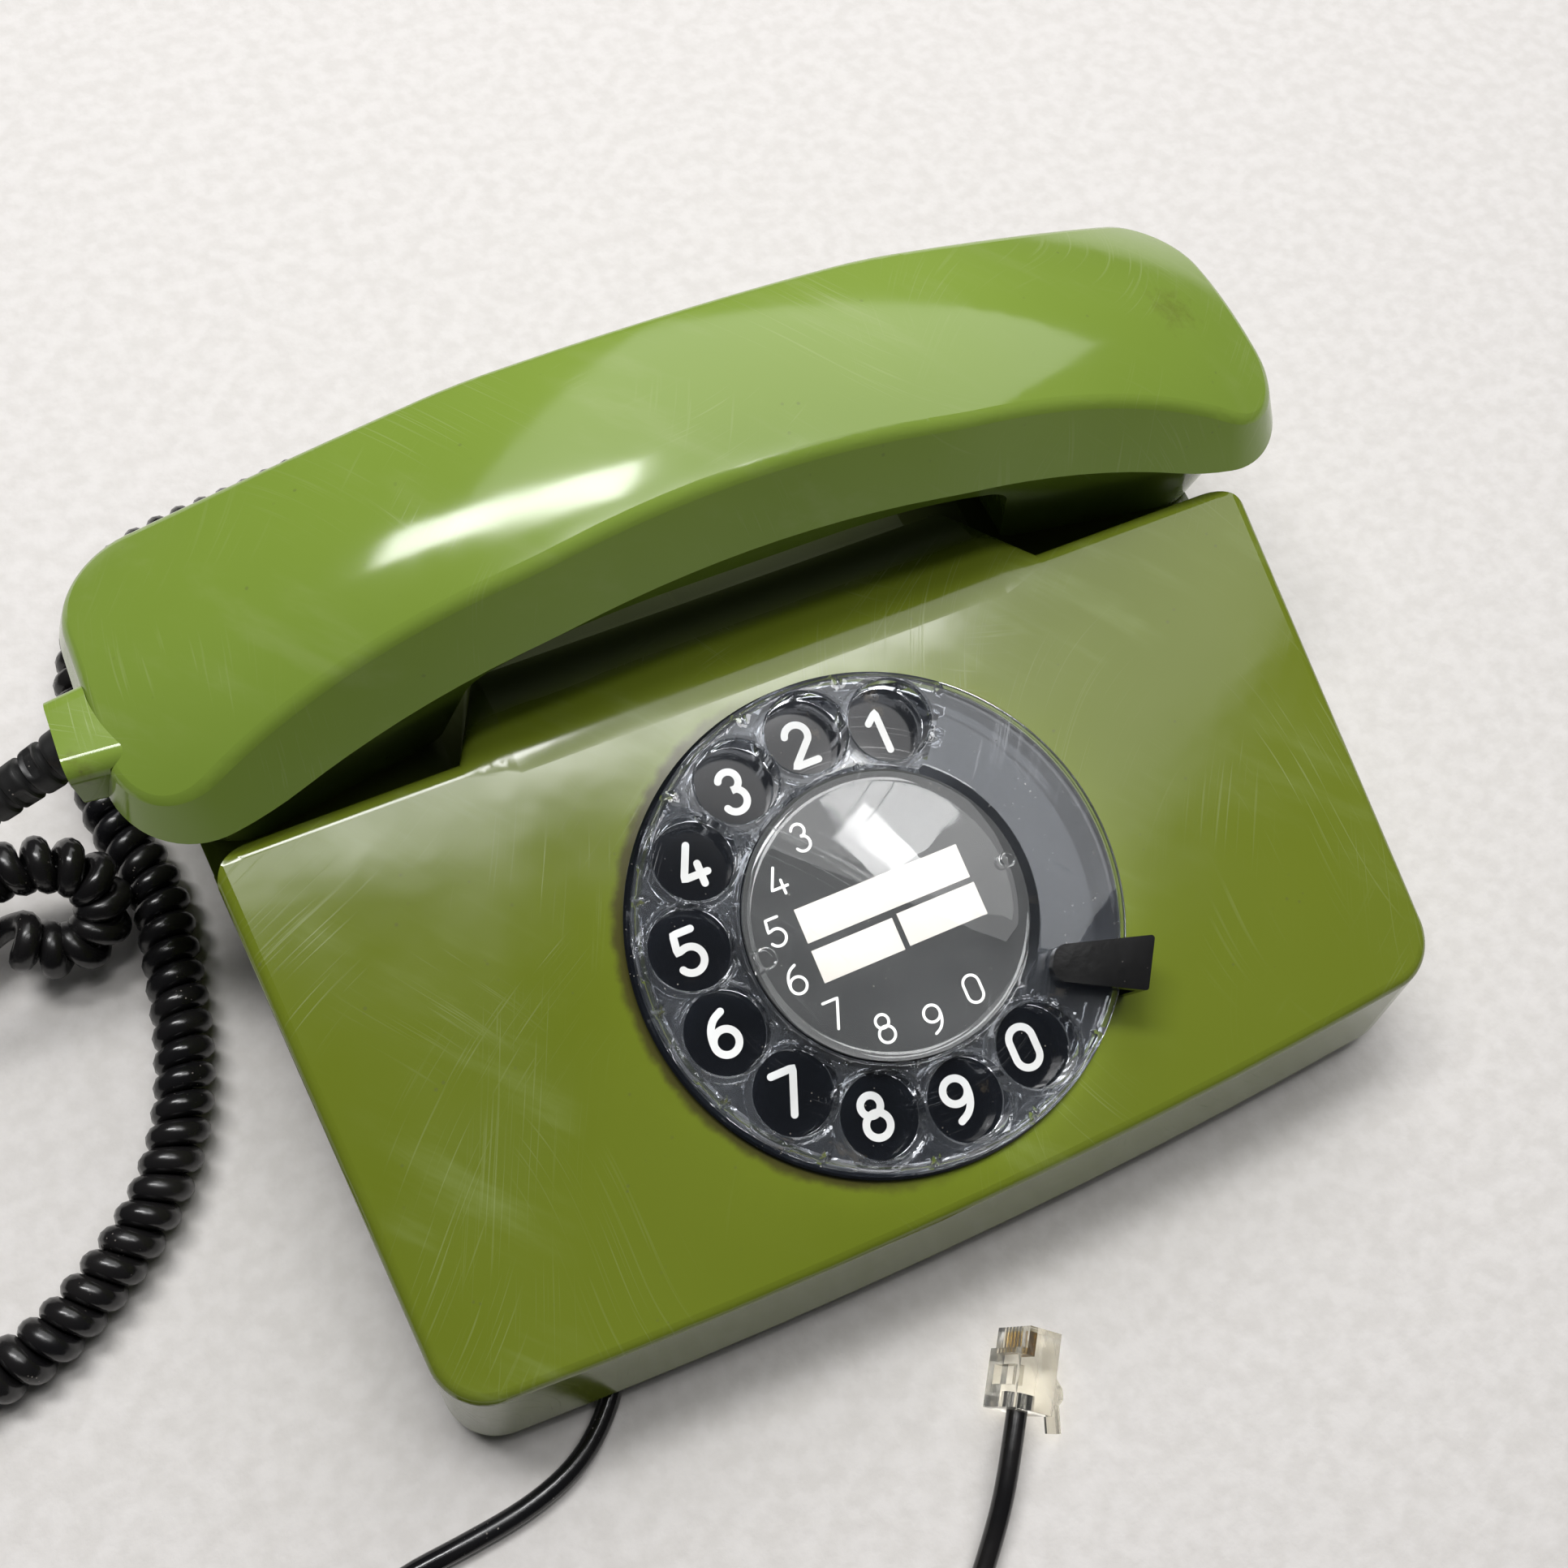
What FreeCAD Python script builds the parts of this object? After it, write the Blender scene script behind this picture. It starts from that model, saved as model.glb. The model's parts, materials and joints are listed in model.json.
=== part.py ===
import FreeCAD, Part
import math
import os
import Sketcher
from types import SimpleNamespace
from FreeCAD import Placement, Rotation, Vector

# A compact rotary desk telephone, in millimetres: +Z up, +X to the right of the person who dials and +Y to the
# back. The origin is on the table under the middle of the telephone. "Depth" below is measured back from the
# front edge of the sloping face, "height" is measured up from the table.

doc = FreeCAD.newDocument("rotary_telephone")

# ---------------------------------------------------------------- driving dimensions

SIZES = (
    # base housing
    ("face_width", 168), ("base_depth", 146), ("side_flare", 0.07), ("side_draft", 0.06),
    ("front_draft", 0.10), ("front_bow", 3.2), ("housing_bottom", 5.4), ("front_height", 29.5),
    ("face_slope", 12.75), ("housing_wall", 2.4), ("front_corner_round", 9), ("rear_corner_round", 12),
    ("face_edge_round", 2),
    # cradle across the back
    ("ridge_depth", 85.2), ("ridge_round", 2.6), ("hollow_depth", 99), ("hollow_round", 22),
    ("hollow_run", 10), ("hollow_floor", 24), ("saddle_blend", 8), ("cup_gap", 0.3), ("cradle_floor", 31),
    ("cradle_width", 52.6), ("sill_height", 38), ("sill_floor", 30.6), ("sill_inner_half", 84),
    ("ridge_end_round", 8), ("crest_height", 43), ("sill_crest", 38.5),
    # bottom
    ("plate_thickness", 2), ("plate_recess", 0.6), ("plate_gap", 0.3), ("foot_radius", 6),
    ("foot_inset", 14), ("boss_radius", 3.6), ("screw_radius", 1.5), ("screw_head_radius", 2.8),
    ("screw_head_height", 1.2), ("screw_length", 10), ("screw_clearance", 0.1),
    # dial
    ("dial_depth", 40.2), ("dial_hole_radius", 36), ("ring_radius", 38.9), ("ring_lip", 1.3),
    ("ring_face", 0.8), ("ring_plate", 1.5), ("ring_skirt_radius", 35.4), ("ring_skirt_wall", 4),
    ("ring_skirt_depth", 5), ("wheel_radius", 38), ("wheel_bottom", 2.2), ("wheel_edge", 5.3),
    ("wheel_top", 7.2), ("wheel_bevel", 1.6), ("wheel_floor", 5.6), ("finger_hole_radius", 6.4),
    ("finger_circle_radius", 29.8), ("finger_first_angle", 65.3), ("finger_hole_spacing", 25.67),
    ("label_radius", 22), ("label_thickness", 0.4), ("cover_top", 8.7), ("stop_angle", -33.2),
    ("stop_tip_radius", 25.4), ("stop_tip_offset", -3), ("stop_leg_radius", 39.2),
    ("stop_leg_thickness", 1.4), ("stop_bottom", 8.3), ("stop_thickness", 1.8), ("stop_root_width", 8.6),
    ("stop_tip_width", 5.4),
    # dial mechanism
    ("mech_plate_radius", 35), ("pillar_circle", 30.5), ("dial_screw_circle", 33.2),
    ("mech_plate_thickness", 1.4), ("mech_depth", 12), ("spindle_radius", 3), ("arbor_radius", 1.2),
    ("running_clearance", 0.05), ("gear_module", 0.7), ("gear_thickness", 1.4), ("main_teeth", 48),
    ("pinion_teeth", 12), ("wheel_teeth", 32), ("governor_teeth", 10), ("gear_backlash", 0.16),
    ("mesh_clearance", 0.12), ("drum_radius", 8.4), ("drum_wall", 0.8), ("drum_height", 4),
    ("fly_radius", 7), ("spring_inner_radius", 4.6), ("spring_outer_radius", 11), ("spring_width", 2.4),
    ("spring_strip", 0.45),
    # handset
    ("handset_half", 99.5), ("handset_shift", 1.7), ("handset_play", 0.05), ("seam_middle", 70),
    ("seam_end", 51), ("seam_turn", 74), ("handset_end_width", 53.6), ("handset_grip_width", 42),
    ("handset_top", 83.3), ("handset_top_arc", 211), ("handset_crown_arc", 58), ("shell_side_slope", 0.57),
    ("shell_grip_slope", 0.505), ("shell_end_slope", 0.3), ("shell_end_round", 0.74),
    ("shell_end_rise", 0.00625), ("crease_round", 3), ("shell_wall", 2.2), ("seam_gap", 0.3),
    ("grip_half", 34), ("lower_end_inset", 1.8), ("lower_side_slope", 0.26), ("lower_end_slope", 0.18),
    ("cup_length", 47.5), ("grip_under", 60), ("capsule_inset", 28), ("capsule_radius", 15),
    ("capsule_height", 9), ("sound_hole_radius", 1.2), ("sound_hole_circle", 6.5), ("cord_boss_length", 10),
    ("cord_boss_width", 17), ("handset_screw_place", 26), ("cord_boss_height", 11),
    ("cord_boss_offset", -6), ("cord_boss_middle", 53.5),
    # cradle switch
    ("plunger_inset", 33.5), ("plunger_radius", 2.5), ("yoke_height", 4), ("yoke_width", 8),
    ("yoke_bottom", 11.5), ("hook_wire", 0.55), ("hook_coil_radius", 3), ("hook_coil_pitch", 1.4),
    # ringer
    ("ringer_side", -62), ("ringer_depth", 45), ("gong_radius", 14.5), ("gong_height", 9),
    ("gong_wall", 1.2), ("gong_spacing", 38), ("gong_lift", 6), ("clapper_ball", 2.6), ("clapper_reach", 9),
    ("coil_radius", 6), ("coil_length", 14),
    # cords
    ("curl_radius", 4.9), ("curl_wire_radius", 2.1), ("lead_radius", 1.65), ("relief_length", 27.5),
    ("relief_seat", 2), ("relief_root", 4), ("relief_tip", 2.8), ("coil_ring_radius", 19.5),
    ("coil_band", 10.5), ("coil_stack", 13.8),
    # modular plug
    ("plug_width", 9.65), ("plug_length", 12.3), ("plug_thickness", 6.6), ("plug_turn", 54),
    ("plug_roll", -70), ("plug_lift", 5.7), ("plug_socket", 2.5),
)

sheet = doc.addObject("Spreadsheet::Sheet", "Sizes")
for row, (alias, value) in enumerate(SIZES, 1):
    sheet.set("A%d" % row, alias)
    sheet.set("B%d" % row, str(value))
    sheet.setAlias("B%d" % row, alias)
doc.recompute()
size = SimpleNamespace(**{alias: float(sheet.get(alias)) for alias, _ in SIZES})

# ---------------------------------------------------------------- places worked out from the sizes

slope = math.radians(size.face_slope)
front_reach = size.front_bow + size.front_draft * (size.front_height - size.housing_bottom)
front_line = (front_reach - size.base_depth) / 2
plate_bottom = size.housing_bottom + size.plate_recess
plate_top = plate_bottom + size.plate_thickness
cradle_middle = size.ridge_depth + size.cradle_width / 2
cup_inner = size.handset_half - size.cup_length
capsule_place = size.handset_half - size.capsule_inset
plunger_place = size.handset_half - size.plunger_inset


def at_depth(depth):
    """Y of a point that lies this far behind the front edge of the face."""
    return front_line + depth


def face_height(depth):
    """Height of the sloping face at a depth."""
    return size.front_height + depth * math.tan(slope)


def half_width(depth, height):
    """Half the width of the housing at a depth and height: it flares to the back and leans in to the top."""
    return size.face_width / 2 + size.side_flare * depth + size.side_draft * (size.front_height - height)


dial_middle = Vector(0, at_depth(size.dial_depth), face_height(size.dial_depth))
dial_place = Placement(dial_middle, Rotation(Vector(1, 0, 0), size.face_slope))
handset_middle = Vector(size.handset_shift, at_depth(cradle_middle), 0)

# ---------------------------------------------------------------- helpers

nodes = {}


def keep(node, item):
    """Give a finished sub-part its label, which is also the name of its file."""
    item.Label = node
    nodes[node] = item
    return item


def cell(name):
    return "Sizes." + name


def cylinder(name, radius, height, place=Vector(), axis=Vector(0, 0, 1)):
    """A cylinder whose radius and height are expressions on the sheet."""
    item = doc.addObject("Part::Cylinder", name)
    item.setExpression("Radius", radius)
    item.setExpression("Height", height)
    item.Placement = Placement(place, Rotation(Vector(0, 0, 1), axis))
    return item


def block(name, length, width, height, place):
    """A box whose three sizes are expressions, centred over its place in X and Y."""
    item = doc.addObject("Part::Box", name)
    item.setExpression("Length", length)
    item.setExpression("Width", width)
    item.setExpression("Height", height)
    doc.recompute()
    item.Placement.Base = place - Vector(item.Length.Value / 2, item.Width.Value / 2, 0)
    return item


def fuse(name, items):
    item = doc.addObject("Part::MultiFuse", name)
    item.Shapes = items
    return item


def cut(name, base, tool):
    item = doc.addObject("Part::Cut", name)
    item.Base = base
    item.Tool = tool
    return item


def group(name, items):
    item = doc.addObject("Part::Compound", name)
    item.Links = items
    return item


def feature(name, shape, place=None):
    """A shape made with Part's own functions from the sheet's sizes."""
    item = doc.addObject("Part::Feature", name)
    item.Shape = shape
    if place is not None:
        item.Placement = place
    return item


def new_body(node):
    body = doc.addObject("PartDesign::Body", node + "_body")
    return keep(node, body)


def new_sketch(body, name, plane):
    sketch = body.newObject("Sketcher::SketchObject", name)
    sketch.AttachmentSupport = [(next(f for f in body.Origin.OriginFeatures if f.Role == plane), "")]
    sketch.MapMode = "FlatFace"
    return sketch


def outline_sketch(body, name, plane, corners):
    """A closed outline of straight lines whose corners have both coordinates bound to the sheet."""
    sketch = new_sketch(body, name, plane)
    points = [Vector(float(body.evalExpression(x)), float(body.evalExpression(y)), 0) for x, y in corners]
    count = len(points)
    for k in range(count):
        sketch.addGeometry(Part.LineSegment(points[k], points[(k + 1) % count]))
    for k in range(count):
        sketch.addConstraint(Sketcher.Constraint("Coincident", k, 2, (k + 1) % count, 1))
    for k, (x, y) in enumerate(corners):
        for kind, value, rule in (("DistanceX", points[k].x, x), ("DistanceY", points[k].y, y)):
            index = sketch.addConstraint(Sketcher.Constraint(kind, -1, 1, k, 1, value))
            sketch.setExpression("Constraints[%d]" % index, rule)
    return sketch


def circle_sketch(body, name, plane, radius, x="0", y="0"):
    """A circle whose radius and centre are bound to the sheet."""
    sketch = new_sketch(body, name, plane)
    centre = Vector(float(body.evalExpression(x)), float(body.evalExpression(y)), 0)
    sketch.addGeometry(Part.Circle(centre, Vector(0, 0, 1), float(body.evalExpression(radius))))
    for kind, value, rule in (("DistanceX", centre.x, x), ("DistanceY", centre.y, y)):
        index = sketch.addConstraint(Sketcher.Constraint(kind, -1, 1, 0, 3, value))
        sketch.setExpression("Constraints[%d]" % index, rule)
    index = sketch.addConstraint(Sketcher.Constraint("Radius", 0, float(body.evalExpression(radius))))
    sketch.setExpression("Constraints[%d]" % index, radius)
    return sketch


def turned(node, corners, place=None):
    """A turned piece: an outline of (radius, height) corners revolved about Z."""
    body = new_body(node)
    sketch = outline_sketch(body, node + "_profile", "XZ_Plane", corners)
    sketch.Visibility = False
    revolution = body.newObject("PartDesign::Revolution", node + "_turn")
    revolution.Profile = sketch
    revolution.ReferenceAxis = (sketch, ["V_Axis"])
    revolution.Angle = 360
    if place is not None:
        body.Placement = place
    doc.recompute()
    return body


def rounded_wire(corners, radii, closed=True):
    """Straight runs through the corners with a tangent arc of the given radius at each."""
    count = len(corners)
    edges = []
    joints = []
    for k in range(count):
        before = corners[k - 1] - corners[k]
        after = corners[(k + 1) % count] - corners[k]
        before.normalize()
        after.normalize()
        half = before.getAngle(after) / 2
        reach = radii[k] / math.tan(half)
        middle = before + after
        middle.normalize()
        bulge = radii[k] / math.sin(half) - radii[k]
        joints.append((corners[k] + before * reach, corners[k] + middle * bulge, corners[k] + after * reach))
    for k in range(count):
        edges.append(Part.Arc(*joints[k]).toShape())
        edges.append(Part.LineSegment(joints[k][2], joints[(k + 1) % count][0]).toShape())
    return Part.Wire(edges)


def route_wire(points, share=0.45):
    """A cord's route: straight runs joined by tangent arcs, each as large as its two runs allow."""
    edges = []
    radii = []
    start = points[0]
    for before, corner, after in zip(points, points[1:], points[2:]):
        back = before - corner
        onward = after - corner
        reach = share * min(back.Length, onward.Length)
        back.normalize()
        onward.normalize()
        half = back.getAngle(onward) / 2
        radius = reach * math.tan(half)
        middle = back + onward
        middle.normalize()
        first = corner + back * reach
        last = corner + onward * reach
        top = corner + middle * (radius / math.sin(half) - radius)
        edges.append(Part.LineSegment(start, first).toShape())
        edges.append(Part.Arc(first, top, last).toShape())
        radii.append(round(radius, 1))
        start = last
    edges.append(Part.LineSegment(start, points[-1]).toShape())
    return Part.Wire(edges), radii


def cord_tube(name, points, radius):
    """A round cord along its route; prints its bend radii and compares its volume with section times length."""
    wire, radii = route_wire(points)
    heading = points[1] - points[0]
    section = Part.Wire(Part.makeCircle(radius, points[0], heading))
    tube = wire.makePipeShell([section], True, False)
    wanted = math.pi * radius ** 2 * wire.Length
    ratio = round(tube.Volume / wanted, 4)
    print(name, "length", round(wire.Length, 1), "bend radii", radii, "volume ratio", ratio)
    return tube


# ---------------------------------------------------------------- housing

def base_loft(inset, bottom, top):
    """The housing's four leaning walls and bowed front, moved in by a wall's thickness."""
    wires = []
    for height in (bottom, top):
        lean = size.front_draft * (size.front_height - height)
        front = at_depth(-lean) + inset
        bowed = front - size.front_bow
        back = at_depth(size.base_depth) - inset
        left_front = half_width(-lean, height) - inset
        left_back = half_width(size.base_depth, height) - inset
        wires.append(Part.Wire([
            Part.Arc(Vector(-left_front, front, height), Vector(0, bowed, height),
                     Vector(left_front, front, height)).toShape(),
            Part.LineSegment(Vector(left_front, front, height), Vector(left_back, back, height)).toShape(),
            Part.LineSegment(Vector(left_back, back, height), Vector(-left_back, back, height)).toShape(),
            Part.LineSegment(Vector(-left_back, back, height), Vector(-left_front, front, height)).toShape()]))
    solid = Part.makeLoft(wires, True, True)
    upright = [e for e in solid.Edges if abs(e.Vertexes[0].Z - e.Vertexes[-1].Z) > (top - bottom) / 2]
    front_edges = [e for e in upright if e.BoundBox.YMax < 0]
    back_edges = [e for e in upright if e.BoundBox.YMax > 0]
    solid = solid.makeFillet(max(size.front_corner_round - inset, 1), front_edges)
    back_edges = [e for e in solid.Edges if any(e.isSame(b) for b in back_edges)] or [
        e for e in solid.Edges
        if e.BoundBox.YMin > at_depth(size.base_depth) - inset - 1 and e.BoundBox.ZLength > (top - bottom) / 2]
    return solid.makeFillet(max(size.rear_corner_round - inset, 1), back_edges)


def cradle_section(x, ridge, ridge_round, run, floor, crest, inset):
    """One cross section of everything above the housing: face, ridge, cradle trough and rear crest."""
    front = -0.4 * size.base_depth
    rear = 1.3 * size.base_depth
    sky = size.base_depth
    lift = inset / math.cos(slope)
    convex = max(ridge_round - inset, 0.4)
    concave = (4 + inset) * min(1, (crest - floor) / 9)
    front_wall = ridge - inset
    back_wall = size.ridge_depth + size.cradle_width + inset
    corners = [
        (front, face_height(front) - lift), (front_wall, face_height(front_wall) - lift),
        (front_wall + run, floor - inset), (back_wall - 1.5, floor - inset), (back_wall, crest - inset),
        (rear, crest - inset - 2), (rear, sky), (front, sky)]
    radii = [1, convex, concave, concave, max(2 - inset, 0.4), 1, 1, 1]
    return rounded_wire([Vector(x, at_depth(depth), height) for depth, height in corners], radii)


def above_housing(inset):
    """The space above the housing's top: the sections differ between grip hollow, cradle and outer sills."""
    wide = (size.ridge_depth, size.ridge_round, 1.5, size.cradle_floor, size.crest_height, inset)
    deep = (size.hollow_depth, size.hollow_round, size.hollow_run, size.hollow_floor, size.crest_height, inset)
    sill = (size.ridge_depth, size.ridge_round, 1.5, size.sill_floor, size.sill_crest, inset)
    cradle_half = cup_inner - size.handset_shift - size.cup_gap
    stations = ((0.78 * size.face_width, sill), (size.sill_inner_half + 5, sill), (size.sill_inner_half, wide),
                (cradle_half, wide), (cradle_half - size.saddle_blend, deep))
    sections = [cradle_section(-x, *form) for x, form in stations]
    sections += [cradle_section(x, *form) for x, form in reversed(stations)]
    return Part.makeLoft(sections, True, True)


def screw_places():
    """The four case screws: two beside the dial at the front, two under the cradle."""
    front = (size.face_width / 2 - 12, 9)
    back = (size.face_width / 2 - 12, cradle_middle + 13)
    return [Vector(side * x, at_depth(depth), 0) for x, depth in (front, back) for side in (-1, 1)]


def ridge_end_cut(side):
    """The sliver taken off to round the ridge's outer corner, seen from above."""
    ridge_half = half_width(size.ridge_depth, size.crest_height)
    corner = Vector(side * ridge_half, at_depth(size.ridge_depth), size.sill_height)
    inward = Vector(-side * size.ridge_end_round, 0, 0)
    forward = Vector(0, -size.ridge_end_round, 0)
    out = Vector(side * 4, 4, 0)
    middle = corner + (inward + forward) * (1 - math.sqrt(0.5))
    start = corner + forward
    end = corner + inward
    wire = Part.Wire([
        Part.Arc(start, middle, end).toShape(),
        Part.LineSegment(end, end + Vector(0, 4, 0)).toShape(),
        Part.LineSegment(end + Vector(0, 4, 0), corner + out).toShape(),
        Part.LineSegment(corner + out, start + Vector(side * 4, 0, 0)).toShape(),
        Part.LineSegment(start + Vector(side * 4, 0, 0), start).toShape()])
    return Part.Face(wire).extrude(Vector(0, 0, size.sill_height))


def above_face():
    """The space above the sloping face's plane, carried on to the rear wall."""
    reach = size.base_depth
    corners = [(-reach, face_height(-reach)), (2 * reach, face_height(2 * reach)), (2 * reach, 2 * reach),
               (-reach, 2 * reach)]
    outline = corners + corners[:1]
    side = Part.makePolygon([Vector(-reach, at_depth(depth), height) for depth, height in outline])
    return Part.Face(side).extrude(Vector(2 * reach, 0, 0))


def is_face_edge(edge):
    """True for the edges that the sloping face makes with the front wall and the side walls."""
    middle = edge.valueAt((edge.FirstParameter + edge.LastParameter) / 2)
    depth = middle.y - front_line
    return abs(middle.z - face_height(depth)) < 0.01 and depth < size.base_depth - size.rear_corner_round


def make_housing():
    top = size.crest_height + 27
    outer = base_loft(0, size.housing_bottom, top).cut(above_face())
    outer = outer.makeFillet(size.face_edge_round, [e for e in outer.Edges if is_face_edge(e)])
    outer = outer.cut(above_housing(0))
    inner = base_loft(size.housing_wall, size.housing_bottom - 5, top + 5)
    inner = inner.cut(above_housing(size.housing_wall))
    shell = outer.cut(inner)
    roof = face_height(screw_places()[0].y - front_line) - size.housing_wall / 2
    tops = (roof, roof, size.cradle_floor - size.housing_wall / 2, size.cradle_floor - size.housing_wall / 2)
    for place, top in zip(screw_places(), tops):
        start = Vector(place.x, place.y, plate_top)
        shell = shell.fuse(Part.makeCylinder(size.boss_radius, top - plate_top, start))
        shell = shell.cut(Part.makeCylinder(size.screw_radius + size.screw_clearance, size.screw_length + 2,
                                            start - Vector(0, 0, 1)))
    for side in (-1, 1):
        shell = shell.cut(ridge_end_cut(side))
    opening = Part.makeCylinder(size.dial_hole_radius, 40, Vector(0, 0, -10))
    opening.Placement = dial_place
    shell = shell.cut(opening)
    for side in (-1, 1):
        hole = Vector(side * plunger_place, handset_middle.y, size.cradle_floor - 10)
        shell = shell.cut(Part.makeCylinder(size.plunger_radius + 0.3, 20, hole))
    gland = curly_gland_place()
    return shell.cut(Part.makeCylinder(size.relief_root + 0.1, 20, gland - Vector(0, 15, 0), Vector(0, 1, 0)))


def curly_gland_place():
    """Middle of the curly cord's opening in the rear wall."""
    return Vector(-46, at_depth(size.base_depth), 14)


housing = keep("housing", feature("housing_shell", make_housing()))

# ---------------------------------------------------------------- bottom plate, feet and case screws

plate_shape = base_loft(size.housing_wall + size.plate_gap, plate_bottom, plate_top)
for place in screw_places():
    plate_shape = plate_shape.cut(Part.makeCylinder(
        size.screw_radius + size.screw_clearance, 10, Vector(place.x, place.y, 0)))
base_plate = keep("base_plate", feature("base_plate_sheet", plate_shape))

feet = []
for k, (side, depth) in enumerate(((-1, 24), (1, 24), (-1, 136), (1, 136))):
    place = Vector(side * (half_width(depth, 0) - size.foot_inset), at_depth(depth), 0)
    foot_height = "Sizes.housing_bottom + Sizes.plate_recess"
    feet.append(cylinder("foot_%d" % k, cell("foot_radius"), foot_height, place))
keep("feet", group("foot_set", feet))

screws = []
for k, place in enumerate(screw_places()):
    under = Vector(place.x, place.y, plate_bottom - size.screw_head_height)
    head = cylinder("case_screw_head_%d" % k, cell("screw_head_radius"), cell("screw_head_height"), under)
    shank = cylinder("case_screw_shank_%d" % k, cell("screw_radius"), cell("screw_length"),
                     Vector(place.x, place.y, plate_bottom))
    screws.append(fuse("case_screw_%d" % k, [head, shank]))
keep("base_screws", group("case_screw_set", screws))

# ---------------------------------------------------------------- dial

turned("number_ring", (
    ("Sizes.spindle_radius + 1", "Sizes.ring_face - Sizes.ring_plate"),
    ("Sizes.ring_skirt_radius - Sizes.ring_skirt_wall", "Sizes.ring_face - Sizes.ring_plate"),
    ("Sizes.ring_skirt_radius - Sizes.ring_skirt_wall", "-Sizes.ring_skirt_depth"),
    ("Sizes.ring_skirt_radius", "-Sizes.ring_skirt_depth"),
    ("Sizes.ring_skirt_radius", "0"),
    ("Sizes.ring_radius", "0"),
    ("Sizes.ring_radius", "Sizes.ring_lip - 0.3"),
    ("Sizes.ring_radius - 0.4", "Sizes.ring_lip"),
    ("Sizes.ring_radius - 1.1", "Sizes.ring_face"),
    ("Sizes.spindle_radius + 1", "Sizes.ring_face")), dial_place)

wheel_body = turned("finger_wheel", (
    ("Sizes.spindle_radius", "Sizes.wheel_bottom"),
    ("Sizes.wheel_radius - 0.6", "Sizes.wheel_bottom"),
    ("Sizes.wheel_radius", "Sizes.wheel_bottom + 0.6"),
    ("Sizes.wheel_radius", "Sizes.wheel_edge - 0.5"),
    ("Sizes.wheel_radius - 0.5", "Sizes.wheel_edge"),
    ("Sizes.wheel_radius - Sizes.wheel_bevel", "Sizes.wheel_top"),
    ("Sizes.label_radius + 0.9", "Sizes.wheel_top"),
    ("Sizes.label_radius + 0.2", "Sizes.wheel_top - 0.3"),
    ("Sizes.label_radius + 0.2", "Sizes.wheel_floor"),
    ("Sizes.spindle_radius", "Sizes.wheel_floor")))
hole_sketch = circle_sketch(
    wheel_body, "finger_hole", "XY_Plane", cell("finger_hole_radius"),
    "Sizes.finger_circle_radius * cos(Sizes.finger_first_angle * 1 deg)",
    "Sizes.finger_circle_radius * sin(Sizes.finger_first_angle * 1 deg)")
finger_pocket = wheel_body.newObject("PartDesign::Pocket", "finger_pocket")
finger_pocket.Profile = hole_sketch
finger_pocket.Type = "ThroughAll"
finger_pocket.Reversed = True
doc.recompute()
finger_holes = wheel_body.newObject("PartDesign::PolarPattern", "finger_holes")
finger_holes.Originals = [finger_pocket]
finger_holes.Axis = (hole_sketch, ["N_Axis"])
finger_holes.Occurrences = 10
finger_holes.setExpression("Angle", "Sizes.finger_hole_spacing * 9")
wheel_body.Tip = finger_holes
wheel_body.Placement = dial_place
doc.recompute()

turned("label_disc", (
    ("0", "Sizes.wheel_floor"), ("Sizes.label_radius - 0.3", "Sizes.wheel_floor"),
    ("Sizes.label_radius - 0.3", "Sizes.wheel_floor + Sizes.label_thickness"),
    ("0", "Sizes.wheel_floor + Sizes.label_thickness")), dial_place)

turned("label_cover", (
    ("0", "Sizes.wheel_floor + Sizes.label_thickness"),
    ("Sizes.label_radius", "Sizes.wheel_floor + Sizes.label_thickness"),
    ("Sizes.label_radius", "Sizes.cover_top - 0.9"),
    ("Sizes.label_radius - 0.7", "Sizes.cover_top - 0.3"),
    ("Sizes.label_radius - 2.2", "Sizes.cover_top"), ("0", "Sizes.cover_top")), dial_place)


def make_finger_stop():
    """A bent hook: a leg standing outside the ring and a tapering finger that reaches in over the holes."""
    tip = size.stop_tip_radius
    root = size.stop_leg_radius + size.stop_leg_thickness
    half_root = size.stop_root_width / 2
    half_tip = size.stop_tip_width / 2
    aside = size.stop_tip_offset
    corners = [Vector(tip, aside - half_tip, 0), Vector(root, -half_root, 0), Vector(root, half_root, 0),
               Vector(tip, aside + half_tip, 0)]
    plan = Part.Face(rounded_wire(corners, [half_tip * 0.8, 0.5, 0.5, half_tip * 0.8]))
    top = size.stop_bottom + size.stop_thickness
    whole = plan.extrude(Vector(0, 0, top))
    under = Part.makeBox(size.stop_leg_radius - tip + 5, 20, size.stop_bottom, Vector(tip - 5, -10, 0))
    hook = whole.cut(under)
    rib = Part.makeBox(5, 2, 1, Vector(size.stop_leg_radius - 5, -1, size.stop_bottom - 0.8))
    return hook.fuse(rib)


stop_place = dial_place.multiply(Placement(Vector(), Rotation(Vector(0, 0, 1), size.stop_angle)))
keep("finger_stop", feature("finger_stop_hook", make_finger_stop(), stop_place))

# ---------------------------------------------------------------- dial mechanism

frame_top = -size.ring_skirt_depth
frame_bottom = frame_top - size.mech_plate_thickness
back_top = frame_bottom - size.mech_depth
back_bottom = back_top - size.mech_plate_thickness
gear_level = frame_bottom - 0.6 - size.gear_thickness
second_level = gear_level - 0.6 - size.gear_thickness
spring_level = back_top + 1
main_radius = size.gear_module * size.main_teeth / 2
pinion_radius = size.gear_module * size.pinion_teeth / 2
wheel_radius = size.gear_module * size.wheel_teeth / 2
governor_radius = size.gear_module * size.governor_teeth / 2
arbor_distance = main_radius + pinion_radius + size.mesh_clearance
governor_distance = wheel_radius + governor_radius + size.mesh_clearance
arbor_angle = math.radians(250)
governor_angle = math.radians(-8)
arbor_place = Vector(arbor_distance * math.cos(arbor_angle), arbor_distance * math.sin(arbor_angle), 0)
governor_place = arbor_place + Vector(
    governor_distance * math.cos(governor_angle), governor_distance * math.sin(governor_angle), 0)


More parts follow.
